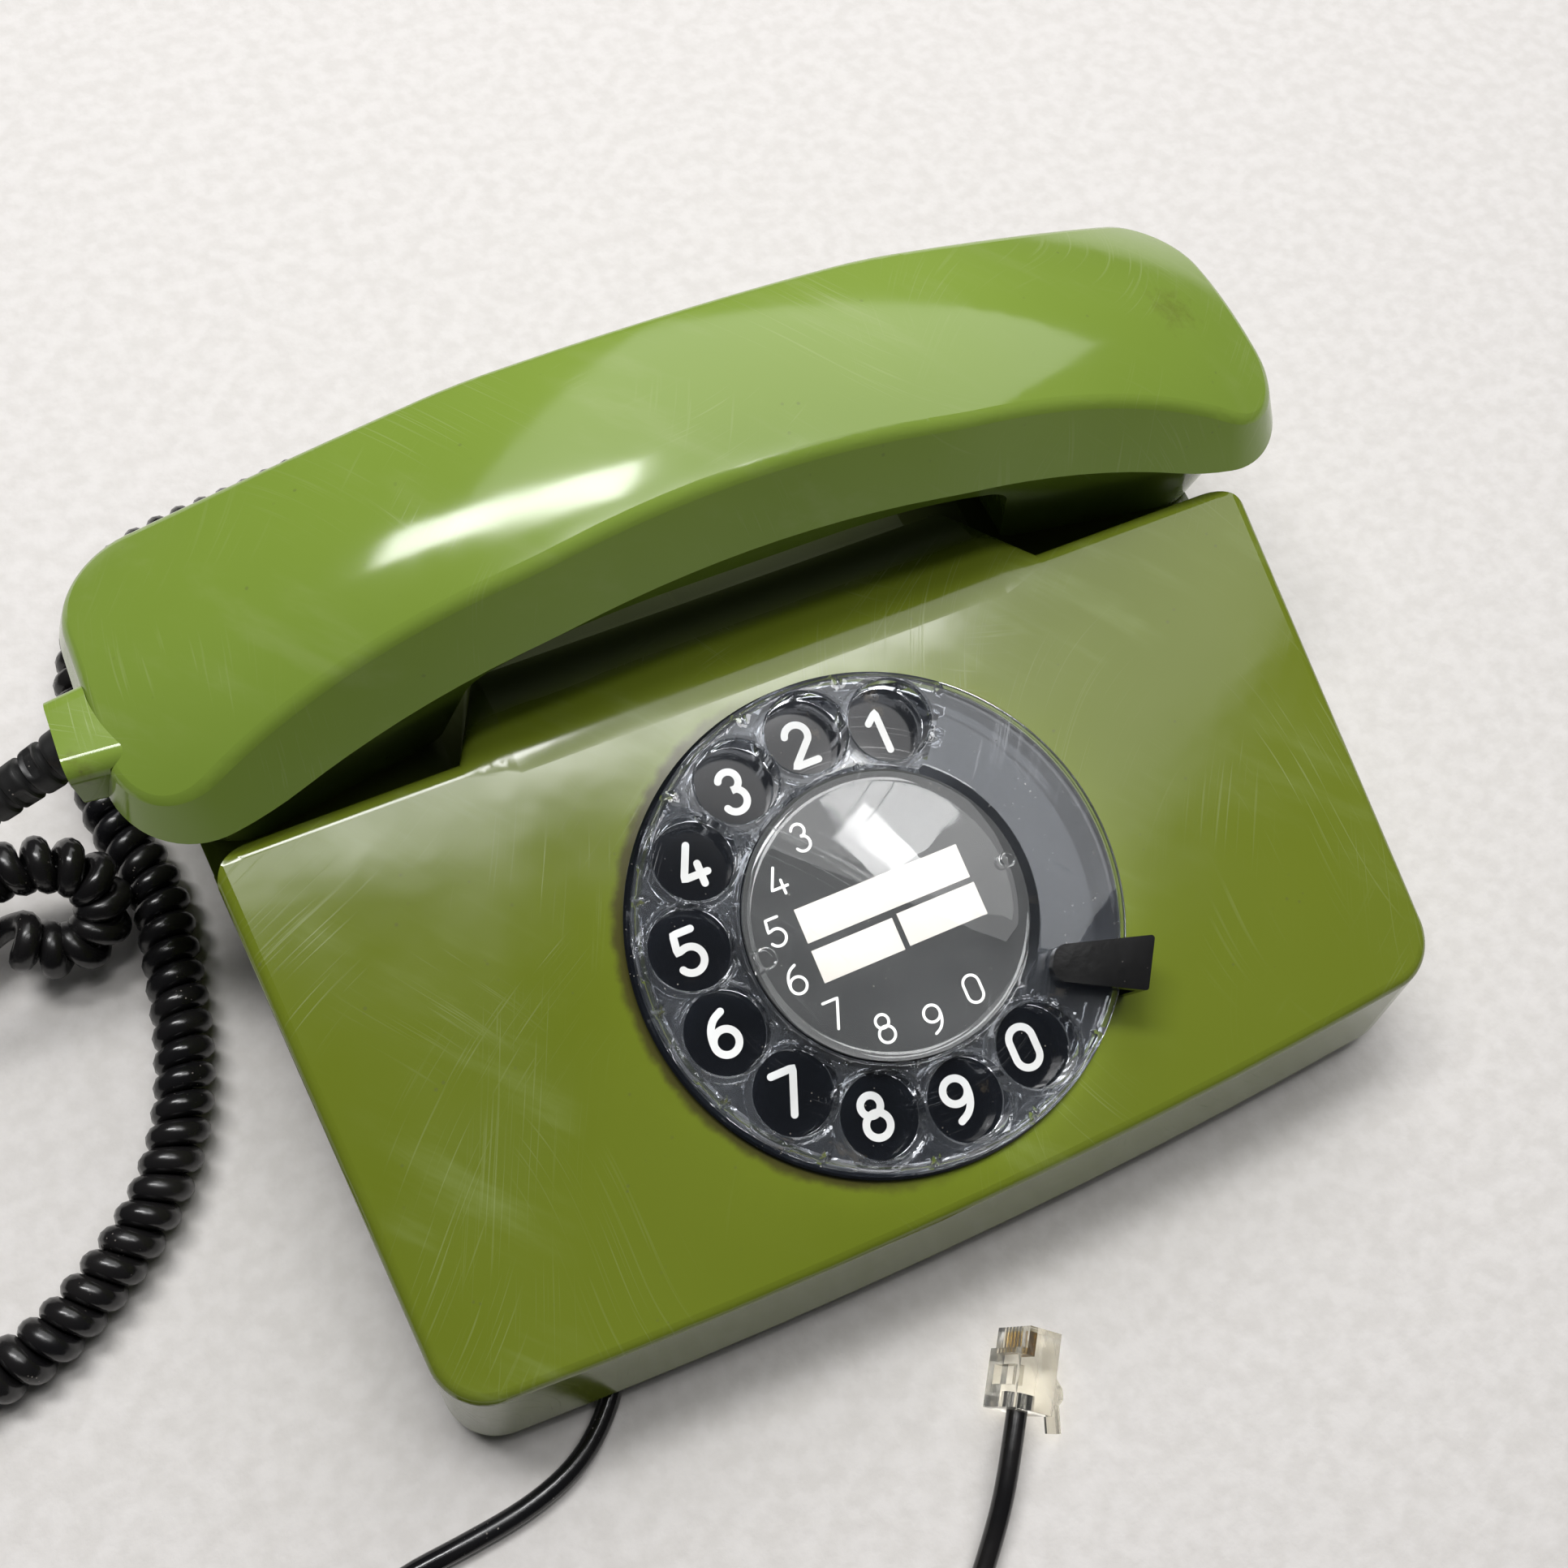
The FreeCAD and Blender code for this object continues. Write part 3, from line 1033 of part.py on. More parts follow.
clapper_level = 4
clapper = Part.makeCylinder(2.2, 3, clapper_pivot + Vector(0, 0, clapper_level))
rod_start = clapper_pivot + Vector(-1.4, 0, clapper_level + 1.5)
rod = Part.makeCylinder(0.7, size.clapper_reach, rod_start, Vector(-1, 0, 0))
clapper = clapper.fuse(rod)
ball = Part.makeSphere(size.clapper_ball)
ball.rotate(Vector(), Vector(0, 0, 1), 135)
ball.translate(clapper_pivot + Vector(-size.clapper_reach, 0, clapper_level + 1.5))
clapper = clapper.fuse(ball)
bore_start = clapper_pivot + Vector(0, 0, clapper_level - 1)
clapper = clapper.cut(Part.makeCylinder(1 + size.running_clearance, 6, bore_start))
keep("clapper", feature("clapper_arm", clapper))

# ---------------------------------------------------------------- circuit

stand_height = 3
stand_radius = 1.8
board_length = 60
board_width = 34
board_thickness = 1.6
board_low = plate_top + stand_height
board_middle = Vector(60, at_depth(46), 0)
board_corner = board_middle + Vector(-board_width / 2, -board_length / 2, board_low)
board = Part.makeBox(board_width, board_length, board_thickness, board_corner)
for side_x in (-1, 1):
    for side_y in (-1, 1):
        stand_foot = board_middle + Vector(side_x * 14, side_y * 26, plate_top)
        board = board.fuse(Part.makeCylinder(stand_radius, stand_height, stand_foot))
keep("circuit_board", feature("circuit_board_sheet", board))
board_top = board_low + board_thickness
transformer = Part.makeBox(20, 16, 4, board_middle + Vector(-10, 6, board_top))
transformer = transformer.fuse(Part.makeBox(14, 20, 10, board_middle + Vector(-7, 4, board_top)))
keep("induction_coil", feature("induction_coil_core", transformer))
can_start = board_middle + Vector(-11, -6, board_top + 4.5)
keep("capacitor", cylinder("capacitor_can", "4.5", "22", can_start, Vector(1, 0, 0)))
terminal_block = Part.makeBox(26, 8, 7, board_middle + Vector(-13, -26, board_top))
for k in range(5):
    terminal_hole = board_middle + Vector(-10 + 5 * k, -22, board_top + 5)
    terminal_block = terminal_block.cut(Part.makeCylinder(1.5, 3, terminal_hole))
keep("terminal_block", feature("terminal_block_strip", terminal_block))

# ---------------------------------------------------------------- line cord and plug

lead = size.lead_radius
lead_level = lead + 0.05
gland_heading = Vector(-9.2, -12.4, 0)
gland_heading.normalize()
gland_middle = Vector(-44, at_depth(22), 0)
gland_size = SimpleNamespace(length=12, width=9)
clamp_place = Placement(gland_middle, Rotation(Vector(1, 0, 0), gland_heading))
clamp = Part.makeBox(gland_size.length, gland_size.width, plate_bottom - 0.3,
                     Vector(-gland_size.length / 2, -gland_size.width / 2, 0.3))
keep("line_cord_gland", feature("line_cord_clamp", clamp, clamp_place))

gland_front = gland_middle + gland_heading * (gland_size.length / 2) + Vector(0, 0, lead_level)
LINE_ROUTE = [Vector(x, at_depth(depth), lead_level) for x, depth in (
    (-53.2, 9.6), (-58.6, 1.6), (-64.2, -6), (-70.8, -11), (-79.4, -13.5), (-90, -14.3), (-100.5, -15.5),
    (-109.5, -19.5), (-115.5, -25.5), (-118.3, -31.5))]
keep("line_cord", feature("line_cord_lead", cord_tube("line_cord", [gland_front] + LINE_ROUTE, lead)))

coil_middle = Vector(-105, at_depth(-45), 0)
coil_outer = size.coil_ring_radius + size.coil_band / 2
coil_inner = size.coil_ring_radius - size.coil_band / 2
ring_solid = Part.makeCylinder(coil_outer, size.coil_stack, coil_middle)
ring_solid = ring_solid.cut(Part.makeCylinder(coil_inner, size.coil_stack, coil_middle))
keep("line_cord_coil", feature("line_cord_hank", ring_solid))

plug_back = Vector(-6.4, at_depth(-32), size.plug_lift)
TAIL_ROUTE = [Vector(x, at_depth(depth), height) for x, depth, height in (
    (-107, -64.2, lead_level), (-98, -66.2, lead_level), (-86, -67.8, lead_level), (-72, -68.6, lead_level),
    (-57, -67.4, lead_level), (-44, -64.2, lead_level), (-33, -59, lead_level), (-24.6, -53.4, lead_level),
    (-19.4, -48.4, 2.3), (-14.3, -42.8, 4.2))]
plug_axis = Rotation(Vector(0, 0, 1), size.plug_turn).multVec(Vector(1, 0, 0))
plug_points = [plug_back - plug_axis * 5, plug_back + plug_axis * size.plug_socket]
line_cord_tail = cord_tube("line_cord_tail", TAIL_ROUTE + plug_points, lead)
keep("line_cord_tail", feature("line_cord_tail_lead", line_cord_tail))

# ---------------------------------------------------------------- modular plug

plug_place = Placement(plug_back, Rotation(Vector(0, 0, 1), size.plug_turn))
plug_place = plug_place.multiply(Placement(Vector(), Rotation(Vector(1, 0, 0), size.plug_roll)))
contact_pitch = 1.02
contact_rows = [(k - 2.5) * contact_pitch for k in range(6)]
plug_half = size.plug_width / 2
plug_top = size.plug_thickness / 2
latch_root = size.plug_length - 1.6


def make_plug():
    """The clear plug lying along X, with its cord at X = 0: contact slots at the far end of its upper face."""
    corner = Vector(0, -plug_half, -plug_top)
    plug = Part.makeBox(size.plug_length, size.plug_width, size.plug_thickness, corner)
    nose_corner = Vector(size.plug_length - 3.4, -plug_half, plug_top - 0.9)
    plug = plug.cut(Part.makeBox(3.4, size.plug_width, 0.9, nose_corner))
    plug = plug.cut(Part.makeBox(3, 6, 1.4, Vector(3.4, -3, plug_top - 1.4)))
    slots = [Part.makeBox(4.2, 0.5, 3, Vector(size.plug_length - 4.2, y - 0.25, plug_top - 3))
             for y in contact_rows]
    plug = plug.cut(slots)
    socket = Part.makeCylinder(lead, size.plug_socket, Vector(), Vector(1, 0, 0))
    return plug.cut(socket)


keep("plug_body", feature("plug_shell", make_plug(), plug_place))
plug_contacts = [Part.makeBox(3.6, 0.5, 1.5, Vector(size.plug_length - 4.2, y - 0.25, plug_top - 3))
                 for y in contact_rows]
keep("plug_contacts", feature("plug_contact_set", Part.makeCompound(plug_contacts), plug_place))


def make_plug_latch():
    """The plug's spring tab: it leaves the nose and leans away from the body towards the cord."""
    corners = [Vector(0, -1.6, 0), Vector(0, 1.6, 0), Vector(-5, 1.6, 0), Vector(-6.5, 3, 0), Vector(-8, 3, 0),
               Vector(-9, 1.6, 0), Vector(-13, 1.6, 0), Vector(-13, -1.6, 0), Vector(-9, -1.6, 0),
               Vector(-8, -3, 0), Vector(-6.5, -3, 0), Vector(-5, -1.6, 0), Vector(0, -1.6, 0)]
    return Part.Face(Part.makePolygon(corners)).extrude(Vector(0, 0, -0.9))


latch_place = plug_place.multiply(Placement(Vector(latch_root, 0, -plug_top), Rotation(Vector(0, 1, 0), -14)))
keep("plug_latch", feature("plug_latch_tab", make_plug_latch(), latch_place))

# ---------------------------------------------------------------- check and write

doc.recompute()
for item in doc.Objects:
    assert "Invalid" not in item.State and "Error" not in item.State, item.Name
os.makedirs("parts", exist_ok=True)
for node, item in nodes.items():
    shape = item.Shape
    assert not shape.isNull() and shape.isValid(), node
    shape.exportStep("parts/%s.step" % node)
    box = shape.BoundBox
    print("%-22s solids %d volume %9.1f  x %7.1f %7.1f  y %7.1f %7.1f  z %6.1f %6.1f" % (
        node, len(shape.Solids), shape.Volume, box.XMin, box.XMax, box.YMin, box.YMax, box.ZMin, box.ZMax))
print(len(nodes), "nodes")
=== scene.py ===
# %% [markdown]
# # A compact rotary desk telephone
# The telephone is a one-piece green housing with a sloping face, a dial with a clear finger wheel, a
# handset that lies in a cradle, a curly cord and a thin line cord with a clear plug. Its solids come from
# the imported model. This lesson dresses them: what is already the right shape keeps its solid and gets a
# finish, and what needs a finer shape is worked out here as a surface and takes the solid's place.

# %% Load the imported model
import json
import math
import bmesh
import bpy
import numpy as np
from mathutils import Euler, Matrix, Vector


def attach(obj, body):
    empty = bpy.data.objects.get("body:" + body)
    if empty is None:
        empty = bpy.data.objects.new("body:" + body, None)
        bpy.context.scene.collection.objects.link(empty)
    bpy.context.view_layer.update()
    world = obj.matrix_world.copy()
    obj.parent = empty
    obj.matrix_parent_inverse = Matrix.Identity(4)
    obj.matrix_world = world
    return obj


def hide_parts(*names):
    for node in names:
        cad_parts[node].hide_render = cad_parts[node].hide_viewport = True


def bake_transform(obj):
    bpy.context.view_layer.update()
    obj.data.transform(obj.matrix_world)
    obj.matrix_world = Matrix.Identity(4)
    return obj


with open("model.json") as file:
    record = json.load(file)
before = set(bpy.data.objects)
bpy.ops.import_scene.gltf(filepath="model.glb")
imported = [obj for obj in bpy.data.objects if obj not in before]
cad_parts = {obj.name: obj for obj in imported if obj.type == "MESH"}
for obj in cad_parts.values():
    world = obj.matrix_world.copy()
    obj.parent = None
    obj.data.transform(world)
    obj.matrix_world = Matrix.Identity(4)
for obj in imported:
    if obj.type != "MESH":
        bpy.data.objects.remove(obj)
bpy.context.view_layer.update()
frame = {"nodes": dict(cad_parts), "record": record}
NODES = frame["nodes"]

# %% [markdown]
# ## Places worked out from the frame
# The dial's own joint gives its centre and its axis, so everything on the dial is drawn flat, in
# millimetres, with x to the right, y up the slope and w off the face, and is then carried onto the slope by
# one matrix.

# %% The dial's own coordinates
MM = 0.001
JOINTS = {joint["name"]: joint for joint in frame["record"]["behaviour"]["joints"]}
DIAL_CENTRE = Vector(JOINTS["dial_turn"]["pos_m"])
DIAL_AXIS = Vector(JOINTS["dial_turn"]["axis"])
DIAL_TILT = math.atan2(-DIAL_AXIS.y, DIAL_AXIS.z)
DIAL = Matrix.Translation(DIAL_CENTRE) @ Matrix.Rotation(DIAL_TILT, 4, "X") @ Matrix.Scale(MM, 4)
FRONT_LINE = -70.195  # the front edge of the sloping face, in millimetres
print("dial leans", round(math.degrees(DIAL_TILT), 2), "degrees")


def place_points(points, matrix):
    """Points of any array shape (..., 3) moved by a matrix: each point times its turn, plus its shift."""
    turn = np.array(matrix.to_3x3())
    return points @ turn.T + np.array(matrix.translation)


def at_depth(points):
    """Route points in metres, from millimetres whose second number counts back from the front line."""
    points = np.array(points, float)
    points[:, 1] += FRONT_LINE
    return points * MM


# %% [markdown]
# ## From a grid of points to a mesh
# A surface is a grid of points: the rows follow one parameter, the columns the other, and each four
# neighbours make a face. A closed form wraps its columns, and a tube also gets a lid on its first and last
# row.

# %% Mesh helpers
MERGE_DISTANCE = 2e-6


def grid_faces(rows, columns, wrap=False, flip=False):
    """The four-sided faces of a grid, as vertex numbers; wrap joins the last column to the first."""
    index = np.arange(rows * columns).reshape(rows, columns)
    if wrap:
        index = np.hstack([index, index[:, :1]])
    corners = [index[:-1, :-1], index[1:, :-1], index[1:, 1:], index[:-1, 1:]]
    if flip:
        corners.reverse()
    return np.stack(corners, -1).reshape(-1, 4).tolist()


def joined(parts):
    """Many (points, faces) as one, each face's numbers moved on by the count of the points before it."""
    points, faces, count = [], [], 0
    for part_points, part_faces in parts:
        points.append(part_points)
        faces += [[corner + count for corner in face] for face in part_faces]
        count += len(part_points)
    return np.vstack(points), faces


def finish_mesh(name, points, faces, sharp=35):
    """A mesh object from points and faces, smooth but for edges sharper than an angle, doubles merged."""
    mesh = bpy.data.meshes.new(name)
    mesh.from_pydata(points.reshape(-1, 3).tolist(), [], faces)
    work = bmesh.new()
    work.from_mesh(mesh)
    bmesh.ops.remove_doubles(work, verts=work.verts, dist=MERGE_DISTANCE)
    work.to_mesh(mesh)
    work.free()
    mesh.shade_smooth()
    mesh.set_sharp_from_angle(angle=math.radians(sharp))
    piece = bpy.data.objects.new(name, mesh)
    bpy.context.scene.collection.objects.link(piece)
    return piece


def grid_piece(name, grid, wrap=False, flip=False, lids=False, sharp=35):
    """A piece made from one grid of points; lids close the first and last row of an unflipped grid."""
    rows, columns = grid.shape[:2]
    faces = grid_faces(rows, columns, wrap, flip)
    if lids:
        first = list(range(columns))
        last = list(range((rows - 1) * columns, rows * columns))
        faces += [first, last[::-1]]
    return finish_mesh(name, grid, faces, sharp)


def turned_piece(name, profile, matrix, steps=96, sharp=35):
    """A turned form: each (radius, height) of the profile is carried round the axis.

    The point at step a is (radius cos a, radius sin a, height); the profile runs from the bottom outwards and
    then up.
    """
    profile = np.array(profile, float)
    turn = np.linspace(0, 2 * math.pi, steps, endpoint=False)
    grid = np.stack([np.outer(profile[:, 0], np.cos(turn)), np.outer(profile[:, 0], np.sin(turn)),
                     np.outer(profile[:, 1], np.ones(steps))], -1)
    return grid_piece(name, place_points(grid, matrix), wrap=True, flip=True, sharp=sharp)


# %% [markdown]
# ## Paths and tubes
# A cord is a path with a round section carried along it. The path is a smooth spline that a few points
# lay down. Blender reads it out as many points, and these are then spaced evenly, because a coil needs
# equal steps. The section needs a side vector at each point, square to the path, so that the tube doesn't
# twist or pinch.

# %% Path helpers
def unit(vectors):
    """Vectors divided by their own lengths."""
    return vectors / np.linalg.norm(vectors, axis=-1, keepdims=True)


def squared(vectors, direction):
    """Vectors less their share along a direction, made one long: they then stand square to it."""
    return unit(vectors - direction * np.sum(vectors * direction, -1, keepdims=True))


def along(path):
    """The direction of a path at each of its points: the difference of its neighbours, made one long."""
    return unit(np.gradient(path, axis=0))


def swept_grid(path, side, radius, steps=12):
    """A round section carried along a path.

    The point at step a is path + radius (cos a side + sin a (direction x side)), with the side vector first
    made square to the path's direction.
    """
    direction = along(path)
    side = squared(side, direction)
    other = np.cross(direction, side)
    turn = np.linspace(0, 2 * math.pi, steps, endpoint=False)
    ring = side[:, None] * np.cos(turn)[None, :, None] + other[:, None] * np.sin(turn)[None, :, None]
    return path[:, None] + ring * radius


def route_spline(name, points, radius=0.0, smooth=6):
    """A cord's route as a curve: one open NURBS spline of order 3, its control points the route's points."""
    curve = bpy.data.curves.new(name, "CURVE")
    curve.dimensions = "3D"
    curve.resolution_u = smooth
    curve.bevel_depth = radius
    curve.bevel_resolution = 5
    curve.use_fill_caps = radius > 0
    spline = curve.splines.new("NURBS")
    spline.points.add(len(points) - 1)
    spline.points.foreach_set("co", np.hstack([points, np.ones((len(points), 1))]).ravel())
    spline.order_u = 3
    spline.use_endpoint_u = True
    piece = bpy.data.objects.new(name, curve)
    bpy.context.scene.collection.objects.link(piece)
    return piece


def read_route(points, smooth=12):
    """Points along the route's NURBS spline, as Blender evaluates the curve with no thickness."""
    guide = route_spline("guide", points, smooth=smooth)
    mesh = bpy.data.meshes.new_from_object(guide)
    path = np.empty(len(mesh.vertices) * 3)
    mesh.vertices.foreach_get("co", path)
    curve = guide.data
    bpy.data.objects.remove(guide)
    bpy.data.curves.remove(curve)
    bpy.data.meshes.remove(mesh)
    return path.reshape(-1, 3)


def spaced(path, count):
    """The path read again at equal steps of its own length, and that length."""
    steps = np.concatenate([[0], np.cumsum(np.linalg.norm(np.diff(path, axis=0), axis=1))])
    wanted = np.linspace(0, steps[-1], count)
    return np.stack([np.interp(wanted, steps, part) for part in path.T], -1), steps[-1]


# %% [markdown]
# ## Shader helpers
# A material here is a handful of nodes. One helper adds a node, sets its values and links its inputs, so
# that each finish reads as a short recipe. What several finishes share, such as hairline scratches, is a
# node group with named inputs and outputs, built once.

# %% Node helpers
def add(tree, kind, inputs=(), **settings):
    """Add a node; inputs maps a socket's name or number to a value or to a socket to link from."""
    item = tree.nodes.new("ShaderNode" + kind)
    for name, value in settings.items():
        setattr(item, name, value)
    for key, value in dict(inputs).items():
        if isinstance(value, bpy.types.NodeSocket):
            tree.links.new(value, item.inputs[key])
        else:
            item.inputs[key].default_value = value
    return item


def math_node(tree, operation, first, second=0.0, clamp=False):
    """The result socket of a Math node."""
    return add(tree, "Math", {0: first, 1: second}, operation=operation, use_clamp=clamp).outputs[0]


def times(tree, first, second):
    """One value times another."""
    return math_node(tree, "MULTIPLY", first, second)


def plus(tree, first, second, clamp=False):
    """One value plus another; clamp holds the sum between 0 and 1."""
    return math_node(tree, "ADD", first, second, clamp)


def minus(tree, first, second):
    """One value less another."""
    return math_node(tree, "SUBTRACT", first, second)


def vector_sum(tree, first, second, operation="ADD"):
    """One vector plus another, or less another with the operation SUBTRACT."""
    return add(tree, "VectorMath", {0: first, 1: second}, operation=operation).outputs[0]


def length_of(tree, vector):
    """How long a vector is."""
    return add(tree, "VectorMath", {0: vector}, operation="LENGTH").outputs["Value"]


def ramp(tree, value, low, high, to_low=0.0, to_high=1.0):
    """A value moved from one range to another by a smooth step, held at its ends."""
    inputs = {"Value": value, "From Min": low, "From Max": high, "To Min": to_low, "To Max": to_high}
    return add(tree, "MapRange", inputs, clamp=True, interpolation_type="SMOOTHSTEP").outputs[0]


def blend(tree, share, first, second):
    """Two colours mixed by a share; a Mix node has its colours on inputs 6 and 7 and on output 2."""
    return add(tree, "Mix", {0: share, 6: first, 7: second}, data_type="RGBA").outputs[2]


def noise(tree, point, scale, detail=2.0, rough=0.5):
    """The value of a noise texture, about 0 to 1."""
    inputs = {"Vector": point, "Scale": scale, "Detail": detail, "Roughness": rough}
    return add(tree, "TexNoise", inputs).outputs[0]


def stretched(tree, point, size, turn=(0, 0, 0)):
    """Coordinates turned back by some angles and then scaled, which stretches a pattern the other way."""
    divisor = [1 / part if part else 0 for part in size]
    inputs = {"Vector": point, "Rotation": turn, "Scale": divisor}
    return add(tree, "Mapping", inputs, vector_type="TEXTURE").outputs[0]


def new_group(name, numbers, results):
    """An empty node group with a Point input, number inputs with their values, and number outputs."""
    group = bpy.data.node_groups.new(name, "ShaderNodeTree")
    group.interface.new_socket("Point", in_out="INPUT", socket_type="NodeSocketVector")
    for label, value in numbers.items():
        socket = group.interface.new_socket(label, in_out="INPUT", socket_type="NodeSocketFloat")
        socket.default_value = value
    for label in results:
        group.interface.new_socket(label, in_out="OUTPUT", socket_type="NodeSocketFloat")
    return group, group.nodes.new("NodeGroupInput").outputs, group.nodes.new("NodeGroupOutput").inputs


def use_group(tree, group, **inputs):
    """The outputs of a node group placed in a material with its own values."""
    return add(tree, "Group", inputs, node_tree=group).outputs


def new_material(name):
    """A material, its tree, its shader and its Object coordinates."""
    material = bpy.data.materials.new(name)
    material.use_nodes = True
    tree = material.node_tree
    shader = tree.nodes["Principled BSDF"]
    return material, tree, shader, add(tree, "TexCoord").outputs["Object"]


def raise_grain(tree, shader, height, strength, distance):
    """A height into the shader's Normal, through a Bump node."""
    bump = add(tree, "Bump", {"Height": height, "Strength": strength, "Distance": distance})
    tree.links.new(bump.outputs[0], shader.inputs["Normal"])


# %% [markdown]
# ## Hairline scratches
# Years of wiping leave bundles of hairlines in glossy plastic. A noise that is stretched almost a
# hundredfold along one direction becomes streaks; its narrow crests are the lines. Three directions are
# laid over each other, and a slow noise keeps each in patches.

# %% The scratch group
SCRATCH_WAYS = ((0.6, 0.012), (-0.9, 0.015), (-0.35, 0.013))  # each a turn and the scale along the streaks


def make_scratches():
    """Group: where hairlines lie (0 to 1): bent and stretched noise, cut to its crests, in patches."""
    group, source, result = new_group(
        "hairline_scratches", {"Fineness": 900.0, "Amount": 0.5}, ("Lines", "Patches"))
    bend = add(group, "TexNoise", {"Vector": source["Point"], "Scale": 9.0, "Detail": 1.0}).outputs["Color"]
    shift = add(group, "VectorMath", {0: bend, "Scale": 0.09}, operation="SCALE").outputs[0]
    point = vector_sum(group, source["Point"], shift)
    lines = None
    for turn, long_way in SCRATCH_WAYS:
        streak_point = stretched(group, point, (1, long_way, 0.04), (0, 0, turn))
        crest = ramp(group, noise(group, streak_point, source["Fineness"], 1.0), 0.6, 0.72)
        patch_point = stretched(group, point, (1, 1, 1), (0, 0, turn))
        patch = ramp(group, noise(group, patch_point, 30.0, 3.0), 0.5, 0.72)
        one_way = times(group, crest, patch)
        lines = one_way if lines is None else math_node(group, "MAXIMUM", lines, one_way)
    patches = ramp(group, noise(group, point, 24.0, 3.0), 0.4, 0.7)
    group.links.new(times(group, lines, source["Amount"]), result["Lines"])
    group.links.new(patches, result["Patches"])
    return group


SCRATCHES = make_scratches()
print("scratch group has", len(SCRATCHES.nodes), "nodes")

# %% [markdown]
# ## Dust and old dirt
# Two more effects lie on every old surface. Dust is specks: the small centres of a cell pattern, with a
# slow noise that leaves some places clean. Old dirt is cloudy: one noise with much detail, seen only where
# it is above an edge. Both are groups too, with a size and an amount that each finish sets for itself.

# %% Dust and grime groups
def make_dust():
    """Group: specks of dust, the small centres of a cell pattern, thinned by a slow noise."""
    group, source, result = new_group("dust_specks", {"Size": 700.0, "Amount": 0.5}, ("Specks",))
    inputs = {"Vector": source["Point"], "Scale": source["Size"], "Randomness": 1.0}
    cells = add(group, "TexVoronoi", inputs)
    speck = ramp(group, cells.outputs["Distance"], 0.16, 0.08)
    thin = ramp(group, noise(group, source["Point"], 160.0, 3.0), 0.55, 0.68)
    group.links.new(times(group, times(group, speck, thin), source["Amount"]), result["Specks"])
    return group


def make_grime():
    """Group: old dirt in cloudy patches: a noise above an edge, which a wider spread brings down."""
    group, source, result = new_group("cloudy_grime", {"Size": 60.0, "Spread": 0.5}, ("Dirt",))
    wide = noise(group, source["Point"], source["Size"], 5.0, 0.62)
    edge = minus(group, 0.78, times(group, source["Spread"], 0.4))
    group.links.new(ramp(group, minus(group, wide, edge), 0.0, 0.16), result["Dirt"])
    return group


DUST = make_dust()
GRIME = make_grime()
print("node groups:", [group.name for group in bpy.data.node_groups])

# %% [markdown]
# ## The green shell plastic
# The housing and the handset are moulded in one green plastic that has yellowed and been rubbed. The colour
# moves a little between a yellower and a greener tone, rubbed patches are duller and paler, hairlines catch
# the light, and a few brown marks sit at the handset's left end and on the cord's collar. The handset's green
# is set lighter than the housing's, partly its own tone and partly painted light for the lamps on its top.
# The housing has old dirt at the dial's left rim, and under the grip it is dull and darkened by painted shade
# for the handset's shadow.

# %% Shell green
RUBBED_GREEN = (0.30, 0.37, 0.14, 1)
HAIRLINE_GREEN = (0.40, 0.46, 0.22, 1)
SPECK_BROWN = (0.10, 0.10, 0.05, 1)
SCUFF_BROWN = (0.085, 0.045, 0.015, 1)
RIM_BROWN = (0.05, 0.035, 0.015, 1)
# painted shade for the handset's shadow in the hollow under the grip
GRIP_SHADE_GREEN = (0.012, 0.016, 0.002, 1)


def on_dial(tree, point):
    """Coordinates from the dial's centre in the dial's own plane, and the distance from that centre."""
    centred = vector_sum(tree, point, DIAL_CENTRE, "SUBTRACT")
    flat = stretched(tree, centred, (1, 1, 0), (DIAL_TILT, 0, 0))
    return flat, length_of(tree, flat)


def scuff(tree, point, place, reach):
    """A ragged round mark: 1 where the distance from its place, plus a noise, is under its reach."""
    far = length_of(tree, vector_sum(tree, point, place, "SUBTRACT"))
    ragged = plus(tree, far, times(tree, noise(tree, point, 420.0, 4.0, 0.7), reach))
    return ramp(tree, ragged, reach * 1.25, reach * 0.75)


def dial_rim_dirt(tree, point):
    """Dirt at the dial's left rim: 1 inside a ragged circle about its centre, fading towards the right."""
    flat, radius = on_dial(tree, point)
    left = ramp(tree, add(tree, "SeparateXYZ", {0: flat}).outputs["X"], 0.0, -0.02)
    ragged = minus(tree, radius, times(tree, noise(tree, point, 330.0, 4.0), 0.0022))
    return times(tree, ramp(tree, ragged, 0.0400, 0.0385), left)


def under_grip(tree, point):
    """The hollow under the grip, where shade is painted: a mask of the depth y, cut off towards the sides."""
    parts = add(tree, "SeparateXYZ", {0: point}).outputs
    sideways = math_node(tree, "ABSOLUTE", parts["X"])
    return times(tree, ramp(tree, parts["Y"], 0.017, 0.029), ramp(tree, sideways, 0.096, 0.08))


